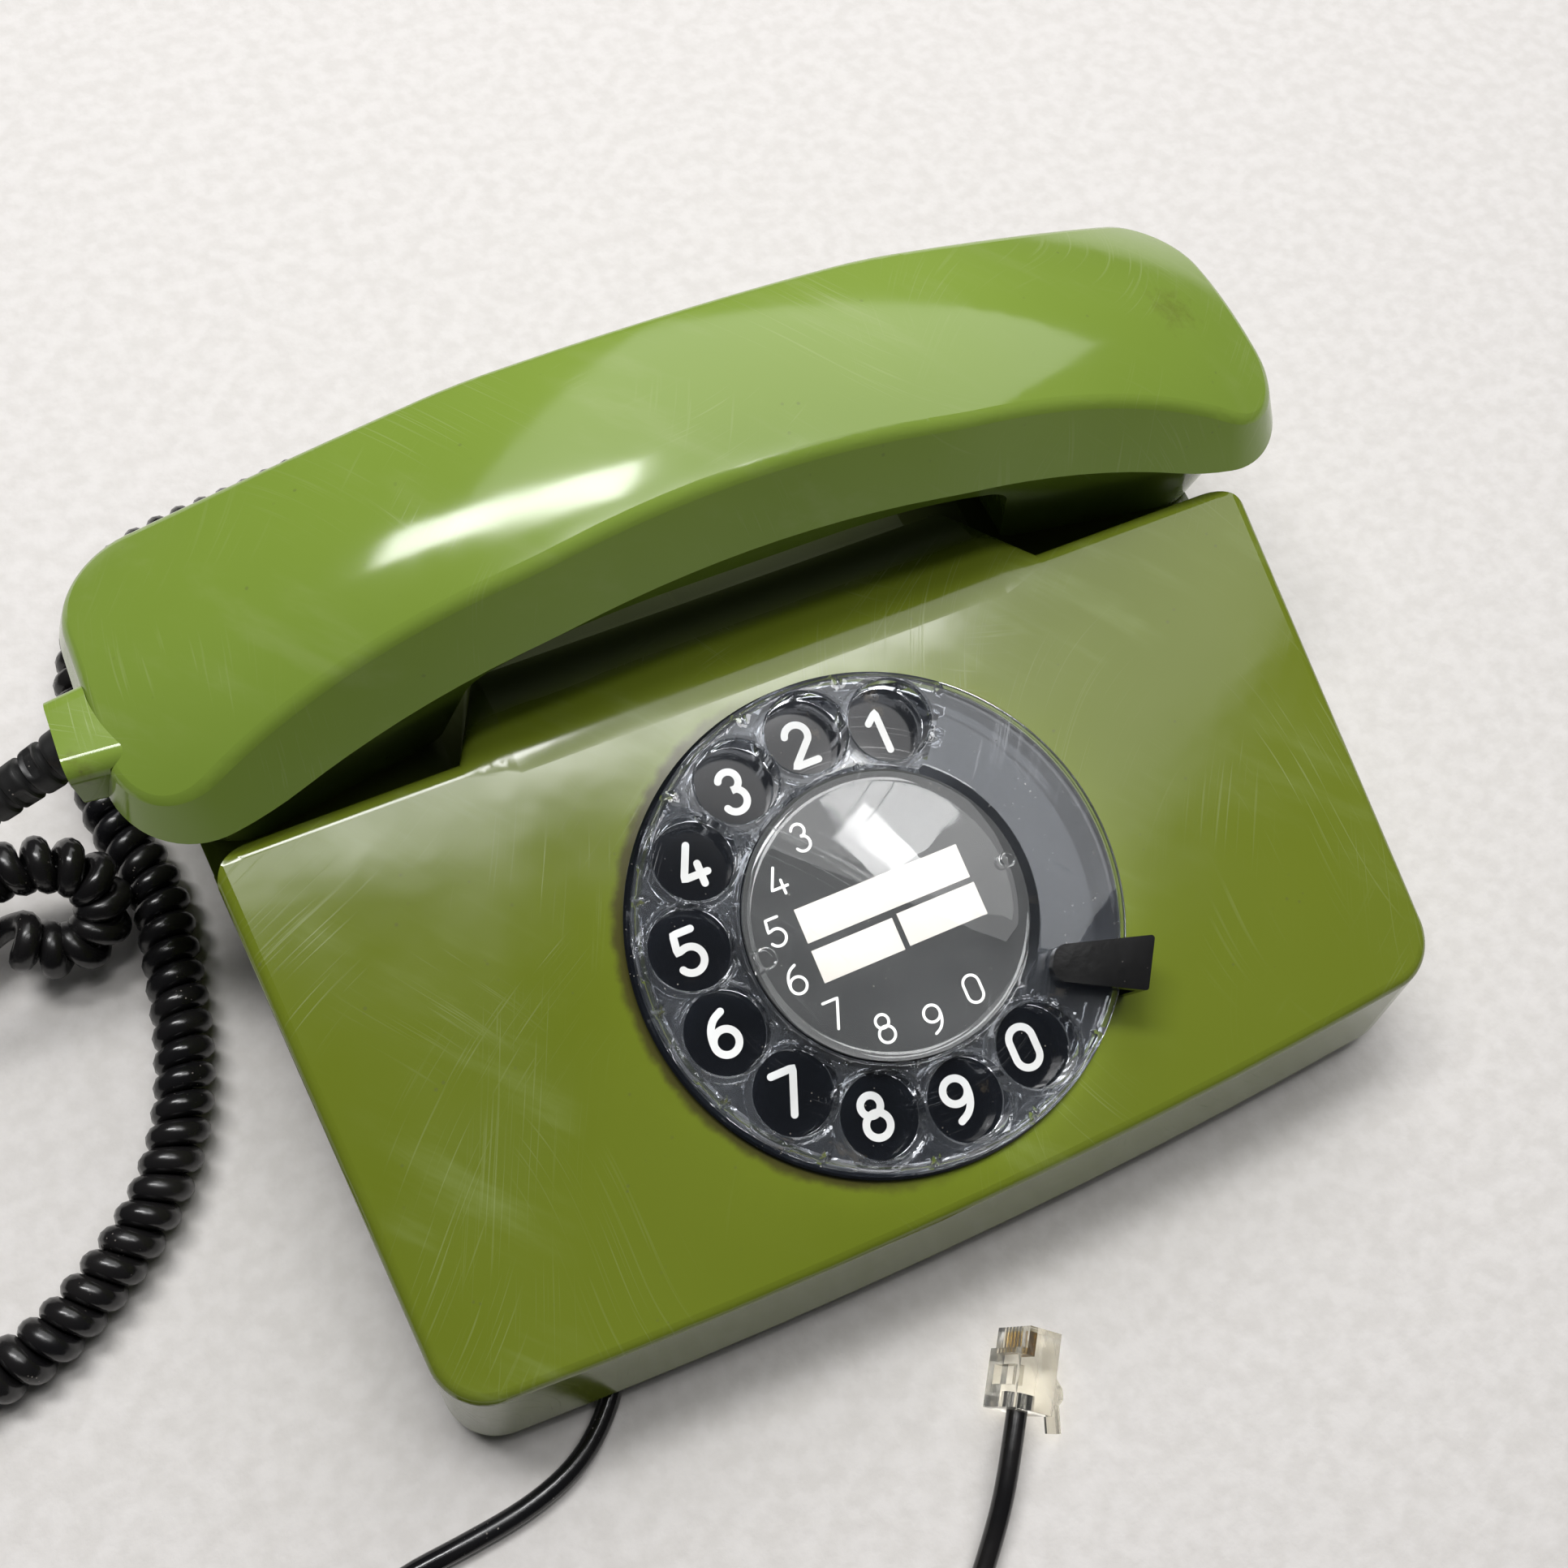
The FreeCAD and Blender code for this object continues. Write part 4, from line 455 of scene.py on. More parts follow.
def make_shell(name, dark, light, gloss, marks=(), rim_dirt_and_grip_shade=0.0):
    """Green moulded plastic; marks are brown scuffs as (place, reach, depth).

    rim_dirt_and_grip_shade adds dirt at the dial's rim, and painted shade and dullness under the grip.
    """
    material, tree, shader, point = new_material(name)
    scratch = use_group(tree, SCRATCHES, Point=point, Fineness=2400.0, Amount=0.6)
    green = blend(tree, ramp(tree, noise(tree, point, 11.0, 3.0), 0.3, 0.7), (*dark, 1), (*light, 1))
    wipe_point = stretched(tree, point, (1, 0.14, 1), (0.1, 0.2, 0.75))
    wiped = ramp(tree, noise(tree, wipe_point, 170.0, 4.0, 0.6), 0.48, 0.8)
    rubbed = times(tree, times(tree, scratch["Patches"], plus(tree, 0.06, wiped)), 0.4)
    green = blend(tree, rubbed, green, RUBBED_GREEN)
    green = blend(tree, times(tree, scratch["Lines"], 0.3), green, HAIRLINE_GREEN)
    dust = use_group(tree, DUST, Point=point, Size=420.0, Amount=0.35)
    green = blend(tree, dust["Specks"], green, SPECK_BROWN)
    for place, reach, depth in marks:
        green = blend(tree, times(tree, scuff(tree, point, place, reach), depth), green, SCUFF_BROWN)
    dull = times(tree, scratch["Patches"], 0.07)
    if rim_dirt_and_grip_shade:
        green = blend(tree, times(tree, dial_rim_dirt(tree, point), rim_dirt_and_grip_shade), green, RIM_BROWN)
        # painted shade: the hollow under the grip is darkened for the handset's shadow
        hollow = under_grip(tree, point)
        green = blend(tree, times(tree, hollow, 0.6), green, GRIP_SHADE_GREEN)
        dull = plus(tree, dull, times(tree, hollow, 0.5))
    tree.links.new(green, shader.inputs["Base Color"])
    rough = plus(tree, ramp(tree, noise(tree, point, 30.0, 4.0), 0.35, 0.7, *gloss), dull)
    rough = plus(tree, rough, times(tree, scratch["Lines"], 0.16))
    tree.links.new(rough, shader.inputs["Roughness"])
    height = minus(tree, noise(tree, point, 85.0, 2.0), times(tree, scratch["Lines"], 0.12))
    raise_grain(tree, shader, height, 0.1, 0.0004)
    shader.inputs["IOR"].default_value = 1.5
    return material


HANDSET_MARKS = (
    ((-0.0884, 0.0242, 0.066), 0.0040, 0.55), ((-0.0808, 0.0234, 0.068), 0.0028, 0.45),
    ((0.0865, 0.0390, 0.071), 0.0110, 0.28), ((-0.0998, 0.0308, 0.056), 0.0050, 0.45))
SHELL = make_shell(
    "housing_green", (0.134, 0.172, 0.013), (0.159, 0.201, 0.020), (0.09, 0.14), rim_dirt_and_grip_shade=0.8)
# The handset's green is lighter than the housing's: partly its own tone, partly painted light for the lamps
# on its top.
HANDSET_SHELL = make_shell(
    "handset_green", (0.186, 0.276, 0.038), (0.217, 0.314, 0.052), (0.08, 0.13), HANDSET_MARKS)
print("shell finish has", len(SHELL.node_tree.nodes), "nodes")

# %% [markdown]
# ## Plain finishes
# Rubber, lacquer, metals, card and cord sheath differ in colour, gloss and grain only, so one function
# makes them all: two tones mixed by a noise, a roughness range, a fine bump, and dust.

# %% One recipe for the plain finishes
BROWN_DIRT = (0.05, 0.037, 0.025, 1)
PALE_DUST = (0.33, 0.30, 0.27, 1)


def make_plain(name, dark, light, rough=(0.3, 0.45), metal=0.0, grain=600.0, bump=0.15, dust=0.3, dirt=0.3):
    """A finish of two tones mixed by a noise, with dust and brown dirt over it and a fine bump."""
    material, tree, shader, point = new_material(name)
    colour = blend(tree, ramp(tree, noise(tree, point, 45.0, 3.0), 0.35, 0.65), (*dark, 1), (*light, 1))
    grime = use_group(tree, GRIME, Point=point, Size=130.0, Spread=0.35)
    colour = blend(tree, times(tree, grime["Dirt"], dirt), colour, BROWN_DIRT)
    specks = use_group(tree, DUST, Point=point, Size=900.0, Amount=dust)
    colour = blend(tree, specks["Specks"], colour, PALE_DUST)
    tree.links.new(colour, shader.inputs["Base Color"])
    tree.links.new(ramp(tree, noise(tree, point, 120.0, 4.0), 0.3, 0.7, *rough), shader.inputs["Roughness"])
    shader.inputs["Metallic"].default_value = metal
    raise_grain(tree, shader, noise(tree, point, grain, 3.0), bump, 0.0002)
    return material


RUBBER = make_plain("foot_rubber", (0.012, 0.012, 0.012), (0.03, 0.03, 0.03), (0.6, 0.8))
CORD = make_plain(
    "cord_black", (0.006, 0.006, 0.007), (0.013, 0.012, 0.012), (0.16, 0.3), grain=900.0, bump=0.1, dust=0.8,
    dirt=0.12)
RELIEF = make_plain(
    "relief_black", (0.010, 0.010, 0.010), (0.024, 0.022, 0.02), (0.4, 0.6), dust=0.9, dirt=0.8)
LACQUER = make_plain(
    "stop_black", (0.004, 0.004, 0.005), (0.008, 0.008, 0.008), (0.1, 0.16), bump=0.03, dust=0.25, dirt=0.1)
STEEL = make_plain("zinc_steel", (0.36, 0.36, 0.35), (0.5, 0.5, 0.48), (0.3, 0.45), metal=1.0)
BRASS = make_plain("turned_brass", (0.55, 0.38, 0.14), (0.68, 0.5, 0.22), (0.2, 0.35), metal=1.0)
COPPER = make_plain(
    "coil_copper", (0.42, 0.15, 0.06), (0.55, 0.22, 0.09), (0.25, 0.4), metal=0.6, grain=1500.0)
ALUMINIUM = make_plain("satin_aluminium", (0.5, 0.5, 0.5), (0.62, 0.62, 0.62), (0.35, 0.5), metal=1.0)
RELAY = make_plain("relay_black", (0.015, 0.015, 0.016), (0.03, 0.03, 0.03), (0.4, 0.6))
LAMINATE = make_plain("board_brown", (0.16, 0.075, 0.025), (0.22, 0.11, 0.04), (0.35, 0.5))
GILT = make_plain(
    "contact_gilt", (0.75, 0.5, 0.16), (0.85, 0.62, 0.25), (0.15, 0.25), metal=1.0, dust=0.1, dirt=0.1)
CARD = make_plain(
    "label_card", (0.018, 0.019, 0.020), (0.026, 0.027, 0.028), (0.75, 0.9), dust=0.4, dirt=0.15)
PRINT = make_plain("pale_print", (0.66, 0.66, 0.64), (0.78, 0.78, 0.76), (0.4, 0.55), dust=0.1, dirt=0.25)
PAPER = make_plain("label_paper", (0.52, 0.485, 0.45), (0.57, 0.535, 0.50), (0.5, 0.6), dust=0.1, dirt=0.06)
print("materials so far:", len(bpy.data.materials))

# %% [markdown]
# ## The black number ring
# The ring under the wheel is glossy black, but fingertips have worn fine arcs round the dial into it. The
# arcs follow the angle about the dial's centre, so the scratch pattern reads the distance from that centre:
# a noise of the radius alone gives circles, and a little of the angle breaks them up.

# %% Ring black
def make_ring_black():
    """Glossy black with arcs worn round the dial: streaks of noise in radius, broken up along the turn."""
    material, tree, shader, point = new_material("ring_black")
    flat, radius = on_dial(tree, point)
    turn_part = stretched(tree, flat, (18, 18, 18))
    radius_part = add(tree, "CombineXYZ", {"X": times(tree, radius, 5200.0)}).outputs[0]
    arcs = ramp(tree, noise(tree, vector_sum(tree, radius_part, turn_part), 1.0, 2.0), 0.6, 0.8)
    worn = times(tree, arcs, ramp(tree, noise(tree, point, 55.0, 3.0), 0.5, 0.75))
    grime = use_group(tree, GRIME, Point=point, Size=190.0, Spread=0.42)
    specks = use_group(tree, DUST, Point=point, Size=1100.0, Amount=0.8)
    black = blend(tree, times(tree, worn, 0.22), (0.006, 0.007, 0.009, 1), (0.08, 0.085, 0.09, 1))
    black = blend(tree, times(tree, grime["Dirt"], 0.55), black, (0.085, 0.068, 0.045, 1))
    black = blend(tree, specks["Specks"], black, (0.35, 0.32, 0.27, 1))
    tree.links.new(black, shader.inputs["Base Color"])
    tree.links.new(plus(tree, 0.09, times(tree, worn, 0.16)), shader.inputs["Roughness"])
    raise_grain(tree, shader, worn, 0.12, 0.0002)
    return material


RING_BLACK = make_ring_black()
print("ring finish has", len(RING_BLACK.node_tree.nodes), "nodes")

# %% [markdown]
# ## Clear plastic
# The finger wheel, the label's cover and the plug are clear plastic. Principled glass with full
# transmission bends the light; light that only casts a shadow passes through a Transparent shader instead,
# because bent light would need far more samples to find its way down to the numbers. Haze, hairlines and
# dirt are roughness and colour.

# %% Clear finish
def make_clear(name, tint, haze=(0.0, 0.04), film=0.12, dirt=0.5, ior=1.49):
    """Clear plastic under a thin film of dirt; Light Path lets shadow rays through with a paler tint."""
    material, tree, shader, point = new_material(name)
    lines = use_group(tree, SCRATCHES, Point=point, Fineness=1300.0, Amount=1.0)["Lines"]
    rough = ramp(tree, noise(tree, point, 70.0, 4.0), 0.35, 0.7, *haze)
    tree.links.new(plus(tree, rough, times(tree, lines, 0.2)), shader.inputs["Roughness"])
    raise_grain(tree, shader, noise(tree, point, 160.0, 2.0), 0.03, 0.0002)
    shader.inputs["Base Color"].default_value = (*tint, 1)
    shader.inputs["Transmission Weight"].default_value = 1.0
    shader.inputs["IOR"].default_value = ior
    grime = use_group(tree, GRIME, Point=point, Size=150.0, Spread=0.3)["Dirt"]
    cloud = ramp(tree, noise(tree, point, 42.0, 4.0, 0.6), 0.35, 0.75, film * 0.3, film)
    share = plus(tree, cloud, times(tree, grime, dirt * 0.35), clamp=True)
    share = plus(tree, share, times(tree, lines, 0.1), clamp=True)
    dirt_colour = blend(tree, grime, (0.50, 0.52, 0.54, 1), (0.20, 0.15, 0.10, 1))
    dusty = add(tree, "BsdfDiffuse", {"Color": dirt_colour}).outputs[0]
    filmed = add(tree, "MixShader", {0: share, 1: shader.outputs[0], 2: dusty}).outputs[0]
    passing_tint = (*[0.72 + 0.25 * part for part in tint], 1)
    passing = add(tree, "BsdfTransparent", {"Color": passing_tint}).outputs[0]
    shadow = add(tree, "LightPath").outputs["Is Shadow Ray"]
    chosen = add(tree, "MixShader", {0: shadow, 1: filmed, 2: passing}).outputs[0]
    tree.links.new(chosen, tree.nodes["Material Output"].inputs["Surface"])
    return material


CLEAR_WHEEL = make_clear("wheel_clear", (0.90, 0.93, 0.98), film=0.05, dirt=0.2, ior=1.42)
CLEAR_COVER = make_clear("cover_clear", (0.98, 0.985, 0.98), film=0.02, dirt=0.1)
CLEAR_PLUG = make_clear("plug_clear", (0.76, 0.735, 0.65), haze=(0.03, 0.1), film=0.05, dirt=0.1, ior=1.5)
print("materials with the clear ones:", len(bpy.data.materials))

# %% [markdown]
# ## Finishes on the solids that keep their shape
# Housing, handset shells, stop, feet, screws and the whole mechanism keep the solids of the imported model,
# and only their material slots change, but for the collar of the handset's cord, whose edges a Bevel
# modifier rounds. Inner parts get the right metal too, because they show when a view looks inside.

# %% Give each kept solid its finish
SOFT_EDGE = 1.6 * MM
SOFT_ANGLE = 30


def dress(material, *names):
    """Give kept solids one material in every slot."""
    for name in names:
        mesh = NODES[name].data
        mesh.materials.clear()
        mesh.materials.append(material)


dress(SHELL, "housing", "hook_plungers")
dress(HANDSET_SHELL, "handset_upper_shell", "handset_lower_shell", "handset_cord_boss")
dress(STEEL, "base_plate", "base_screws", "dial_frame", "dial_back_plate", "dial_pillars", "dial_spindle",
      "governor_drum", "return_spring", "dial_screws", "handset_screws", "hook_spring", "ringer_bracket",
      "gong_screws")
dress(BRASS, "main_gear", "gear_arbor", "governor", "low_gong", "high_gong", "clapper")
dress(COPPER, "ringer_coil", "induction_coil")
dress(ALUMINIUM, "transmitter_capsule", "receiver_capsule", "capacitor")
dress(RELAY, "pulse_contacts", "hook_contacts", "terminal_block")
dress(LAMINATE, "circuit_board")
dress(RUBBER, "feet", "line_cord_gland", "handset_cord_gland")
dress(LACQUER, "finger_stop")
dress(RING_BLACK, "number_ring")
dress(CARD, "label_disc")
dress(GILT, "plug_contacts")
dress(CLEAR_PLUG, "plug_body", "plug_latch")
soft_edges = NODES["handset_cord_boss"].modifiers.new("soft_edges", "BEVEL")
soft_edges.width = SOFT_EDGE
soft_edges.segments = 3
soft_edges.limit_method = "ANGLE"
soft_edges.angle_limit = math.radians(SOFT_ANGLE)
print("kept solids dressed, the collar's edges bevelled by", round(soft_edges.width / MM, 2), "mm")

# %% [markdown]
# ## The clear finger wheel
# The wheel is moulded like a shallow lid: a flat clear plate on top, and under it thin walls that go down
# round each finger hole, round the rim and round the label. Both surfaces are heights over the plan. The
# top is flat, eased round the holes, and falls to the rim. The underside is the plate's own height, lowered
# by the greatest of three smooth steps, one for each kind of wall.

# %% Heights of the wheel
HOLE_RADIUS = 6.4
HOLE_CIRCLE = 29.8
HOLE_STEP = 25.67
HOLE_ANGLES = np.radians(65.3 + HOLE_STEP * np.arange(10))
HALF_SHARE = math.radians(HOLE_STEP / 2)
WHEEL_RADIUS = 38.0
RECESS_RADIUS = 22.2
WHEEL_BOTTOM = 2.2
WHEEL_TOP = 7.2
PLATE_UNDERSIDE = 5.7
RIM_TOP = 5.6
HOLE_EASE = 0.35            # the top is eased this far round each hole
LABEL_EASE = 22.6           # and up to this radius round the label
RIM_SLOPE = (36.6, 37.7)    # radii between which the top falls to the rim
RIM_EASE = (37.6, WHEEL_RADIUS)
HOLE_WALL = (1.15, 0.85)    # distances from a hole between which its wall goes down
RIM_WALL = (36.6, 36.9)
LABEL_WALL = (23.3, 23.0)


def step(value, low, high):
    """A smooth step from 0 at low to 1 at high."""
    share = np.clip((value - low) / (high - low), 0, 1)
    return share * share * (3 - 2 * share)


def wheel_edges(plan):
    """Distance from the nearest finger hole's edge, and distance from the dial's axis, over plan points."""
    centres = HOLE_CIRCLE * np.stack([np.cos(HOLE_ANGLES), np.sin(HOLE_ANGLES)], -1)
    gap = np.linalg.norm(plan[..., None, :] - centres, axis=-1).min(-1) - HOLE_RADIUS
    return gap, np.linalg.norm(plan, axis=-1)


def wheel_top(plan):
    """Height of the upper surface: a flat plate, eased at the holes, falling to the rim at the edge."""
    gap, radius = wheel_edges(plan)
    fall = (WHEEL_TOP - RIM_TOP) * step(radius, *RIM_SLOPE) + 0.3 * step(radius, *RIM_EASE)
    return WHEEL_TOP - fall - 0.3 * step(gap, HOLE_EASE, 0.0) - 0.2 * step(radius, LABEL_EASE, RECESS_RADIUS)


def wheel_under(plan):
    """Height of the lower surface: the plate's underside, and walls down at holes, rim and label."""
    gap, radius = wheel_edges(plan)
    walls = [step(gap, *HOLE_WALL), step(radius, *RIM_WALL), step(radius, *LABEL_WALL)]
    return PLATE_UNDERSIDE + (WHEEL_BOTTOM - PLATE_UNDERSIDE) * np.max(walls, axis=0)


print("the plate is", round(WHEEL_TOP - PLATE_UNDERSIDE, 2), "mm thick")

# %% [markdown]
# ## The grid of one hole's share
# Each finger hole has its own share of the disc. From the hole's edge, rays go out to the share's outline:
# the wheel's edge, the label's recess and the two radii beside the hole. The grid needs a row at each
# distance at which the surface bends, or the walls come out jagged. Where a ray crosses a circle about the
# dial's axis follows from one quadratic equation.

# %% Rays and their stops
HOLE_STOPS = (0, 0.12, 0.35, 0.6, 0.85, 1.15)
RIM_STOPS = (36.6, 36.9, 37.2, 37.6, 37.8)
LABEL_STOPS = (22.4, 22.6, 23.0, 23.3, 23.6)
EVEN_STOPS = (0.3, 0.5, 0.7, 0.85, 1.0)


def circle_crossings(angles, radius):
    """Where rays from a hole's centre cross a circle about the dial's axis: near and far distance.

    For a ray at angle a they are -f - root and -f + root, with f = c cos a, c the holes' circle, and the root
    that of f^2 - c^2 + r^2. The root is 0 where the ray misses the circle.
    """
    forward = HOLE_CIRCLE * np.cos(angles)
    root = np.sqrt(np.maximum(forward ** 2 - HOLE_CIRCLE ** 2 + radius ** 2, 0))
    return -forward - root, -forward + root


def share_outline(angles):
    """Where rays from a hole's centre first meet the outline of its share: two circles and two radii."""
    centre = np.array([HOLE_CIRCLE, 0.0])
    ray = np.stack([np.cos(angles), np.sin(angles)], -1)
    near, far = circle_crossings(angles, RECESS_RADIUS)
    reach = [circle_crossings(angles, WHEEL_RADIUS)[1], np.where((near > 0) & (near < far), near, np.inf)]
    for side in (-1, 1):
        normal = np.array([-math.sin(HALF_SHARE) * side, math.cos(HALF_SHARE)]) * side
        facing = ray @ normal
        ahead = facing > 1e-9
        reach.append(np.where(ahead, -(centre @ normal) / np.where(ahead, facing, 1), np.inf))
    return centre + ray * np.min(reach, axis=0)[:, None]


def ray_stops(angles, length):
    """Distances from a hole's edge along its rays at which the surface bends, in rising order.

    They are those of the hole's own wall, the crossings with the circles of rim and label, and even shares.
    """
    stops = [np.full_like(length, gap) for gap in HOLE_STOPS]
    stops += [circle_crossings(angles, radius)[1] - HOLE_RADIUS for radius in RIM_STOPS]
    stops += [circle_crossings(angles, radius)[0] - HOLE_RADIUS for radius in LABEL_STOPS]
    stops += [share * length for share in EVEN_STOPS]
    return np.sort(np.clip(stops, 0, length), axis=0)


def share_grid():
    """One share's plan points, a row for each stop and a column for each ray, and the outline's points."""
    corners = [(radius * math.cos(side * HALF_SHARE) - HOLE_CIRCLE, radius * math.sin(side * HALF_SHARE))
               for radius in (RECESS_RADIUS, WHEEL_RADIUS) for side in (-1, 1)]
    corner_angles = [math.atan2(y, x) for x, y in corners]
    even = np.linspace(-math.pi, math.pi, 72, endpoint=False)
    angles = np.sort(np.concatenate([even, corner_angles]))
    ray = np.stack([np.cos(angles), np.sin(angles)], -1)
    edge = np.array([HOLE_CIRCLE, 0.0]) + HOLE_RADIUS * ray
    outline = share_outline(angles)
    length = np.linalg.norm(outline - edge, axis=-1)
    return edge + ray * ray_stops(angles, length)[:, :, None], outline


share_plan, share_edge = share_grid()
print("one share has", share_plan.shape[0], "rows of", share_plan.shape[1], "points")

# %% [markdown]
# ## The whole wheel
# Ten turned copies of the share's grid and one plain stretch without a hole are put together. Each copy
# runs along the underside towards the hole, up the hole's wall and out again over the top, so only the
# wheel's inner and outer rims are open. The last step bridges those.

# %% Wheel
WALL_ROWS = 3
BLANK_STEPS = 64


def height_grid(plan, heights):
    """Plan points and heights as a grid of points in space."""
    return np.concatenate([plan, heights[..., None]], -1)


def make_wheel():
    """All ten shares and the blank stretch, each as bottom, hole wall and top, as one mesh."""
    parts = []

    def put(grid, wrap):
        parts.append((grid.reshape(-1, 3), grid_faces(*grid.shape[:2], wrap=wrap)))

    for angle in HOLE_ANGLES:
        cosine, sine = math.cos(angle), math.sin(angle)
        plan = share_plan @ np.array([[cosine, sine], [-sine, cosine]])
        top = height_grid(plan, wheel_top(plan))
        under = height_grid(plan, wheel_under(plan))
        climb = np.linspace(0, 1, WALL_ROWS + 2)[1:-1, None, None]
        put(np.concatenate([under[::-1], under[0] + climb * (top[0] - under[0]), top]), True)
    on_side = np.abs(np.arctan2(share_edge[:, 1], share_edge[:, 0]) - HALF_SHARE) < 1e-6
    radii = np.sort(np.linalg.norm(share_edge[on_side], axis=-1))
    last_angle = HOLE_ANGLES[0] - HALF_SHARE + 2 * math.pi
    blank_turn = np.linspace(HOLE_ANGLES[-1] + HALF_SHARE, last_angle, BLANK_STEPS)
    plan = np.stack([np.outer(radii, np.cos(blank_turn)), np.outer(radii, np.sin(blank_turn))], -1)
    put(height_grid(plan, wheel_top(plan)), False)
    put(height_grid(plan, wheel_under(plan))[::-1], False)
    points, faces = joined(parts)
    return finish_mesh("finger_wheel_clear", place_points(points, DIAL), faces, 40)


def rim_radius(edge):
    """How far from the dial's axis an edge lies, in millimetres."""
    middle = (edge.verts[0].co + edge.verts[1].co) / 2 - DIAL_CENTRE
    return (middle - DIAL_AXIS * middle.dot(DIAL_AXIS)).length / MM


def close_rims(piece):
    """Bridge the open inner and outer rims, top edge to bottom edge, and point all faces outwards."""
    work = bmesh.new()
    work.from_mesh(piece.data)
    open_edges = [edge for edge in work.edges if edge.is_boundary]
    outer = [edge for edge in open_edges if rim_radius(edge) > HOLE_CIRCLE]
    inner = [edge for edge in open_edges if rim_radius(edge) < HOLE_CIRCLE]
    bmesh.ops.bridge_loops(work, edges=outer)
    bmesh.ops.bridge_loops(work, edges=inner)
    bmesh.ops.recalc_face_normals(work, faces=work.faces)
    work.to_mesh(piece.data)
    work.free()
    piece.data.shade_smooth()
    piece.data.set_sharp_from_angle(angle=math.radians(40))
    print(piece.name, "has", len(piece.data.polygons), "faces")


wheel = make_wheel()
close_rims(wheel)
wheel.data.materials.append(CLEAR_WHEEL)
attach(wheel, "dial")
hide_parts("finger_wheel")

# %% [markdown]
# ## The label's clear cover
# A clear button closes the middle of the dial. It is a low dome with a rounded rim, turned from one
# profile. Its underside stops just short of the card, so that the two surfaces don't flicker.

# %% Cover
COVER_PROFILE = ((0.001, 6.2), (21.6, 6.2), (21.95, 6.5), (21.95, 7.6), (21.85, 8.0), (21.6, 8.3),
                 (21.2, 8.5), (20.6, 8.62), (19.8, 8.66), (0.001, 8.66))
CATCHES = (("cover_catch", 20.2, 0.4, 1.25), ("cover_notch", -19.9, 0.5, 1.75))
LIP = 0.35

cover = turned_piece("label_cover_clear", COVER_PROFILE, DIAL, 128)
cover.data.materials.append(CLEAR_COVER)
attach(cover, "dial")
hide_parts("label_cover")
for name, x, y, radius in CATCHES:
    inside = radius - LIP
    profile = [(inside, 8.2), (radius, 8.2), (radius, 8.72), (radius - 0.12, 8.82), (inside, 8.72),
               (inside, 8.2)]
    ring = turned_piece(name, profile, DIAL @ Matrix.Translation((x, y, 0)), 40)
    ring.data.materials.append(CLEAR_COVER)
    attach(ring, "dial")
print("cover and", len(CATCHES), "rings")

# %% [markdown]
# ## Numbers
# The numbers are printed in an even, round-ended stroke. Each digit is one or two lines made of straight
# runs and arcs in a box one high; a stroke is such a line with both its sides moved out by half the
# stroke's width. Flat strokes that lie a hair above the surface look printed, and need no font.

# %% Digits from strokes
def arc(x, y, radius, start, end, tall=1.0):
    """Points of an arc about (x, y) from one angle to another, in degrees, with its height scaled."""
    turn = np.radians(np.linspace(start, end, max(8, int(abs(end - start) / 9))))
    return np.stack([x + radius * np.cos(turn), y + tall * radius * np.sin(turn)], -1)


def line(*corners):
    """Corners of a run of straight pieces, as an array."""
    return np.array(corners, float)


# The six is a closed bowl with a back that rises from its left side and leans in to the top. The nine is the
# same line turned half round.
SIX = np.vstack([line((0.13, 1.0)), arc(0.16, 0.38, 0.46, 112, 178, 1.3), arc(0, 0.3, 0.3, 180, 532)])
DIGITS = {
    "0": [np.vstack([arc(0, 0.7, 0.3, 0, 180), arc(0, 0.3, 0.3, 180, 360), line((0.3, 0.7))])],
    "1": [line((-0.2, 0.78), (0.06, 1.0), (0.06, 0.0))],
    "2": [np.vstack([arc(0, 0.71, 0.29, 165, -32), line((-0.3, 0.0), (0.3, 0.0))])],
    "3": [np.vstack([arc(0, 0.755, 0.245, 160, -80), arc(0, 0.27, 0.28, 82, -155)])],
    "4": [line((0.04, 1.0), (-0.3, 0.25), (0.3, 0.25)), line((0.13, 0.5), (0.13, 0.0))],
    "5": [np.vstack([line((0.25, 1.0), (-0.19, 1.0), (-0.25, 0.56)), arc(0.0, 0.31, 0.31, 112, -150)])],
    "6": [SIX],
    "7": [line((-0.28, 1.0), (0.28, 1.0), (-0.1, 0.0))],
    "8": [arc(0, 0.75, 0.24, -90, 270), arc(0, 0.27, 0.29, 90, 450)],
    "9": [np.array([0.0, 1.0]) - SIX],
}
END_STEPS = 9
CLIMB = 0.02
print("digits drawn:", len(DIGITS))


def stroke(points, half, lift):
    """One stroke as a flat strip with round ends.

    Each side is the line plus or minus half the width along the line's normal, and each end is half a circle.
    The strip climbs a fiftieth of a millimetre along its length, so it never lies in itself where it crosses.
    """
    direction = along(points)
    normal = np.stack([-direction[:, 1], direction[:, 0]], -1)
    caps = []
    for place, heading in ((points[0], -direction[0]), (points[-1], direction[-1])):
        start = math.atan2(heading[1], heading[0]) - math.pi / 2
        turn = np.linspace(start, start + math.pi, END_STEPS)
        caps.append(place + half * np.stack([np.cos(turn), np.sin(turn)], -1))
    strip = np.stack([points + normal * half, points - normal * half], 1).reshape(-1, 2)
    count = len(points)
    climb = np.repeat(np.linspace(0, CLIMB, count), 2)
    height = lift + np.concatenate([climb, np.zeros(END_STEPS), np.full(END_STEPS, CLIMB)])
    faces = grid_faces(count, 2)
    faces += [list(range(first, first + END_STEPS)) for first in (2 * count, 2 * count + END_STEPS)]
    return np.concatenate([np.vstack([strip, *caps]), height[:, None]], -1), faces


def fine_line(points, spacing=0.06):
    """Extra points on the straight runs, so that a stroke keeps its width round a corner."""
    pieces = []
    for first, last in zip(points[:-1], points[1:]):
        steps = max(1, int(np.linalg.norm(last - first) / spacing))
        pieces.append(first + (last - first) * np.linspace(0, 1, steps, endpoint=False)[:, None])
    return np.vstack([*pieces, points[-1:]])


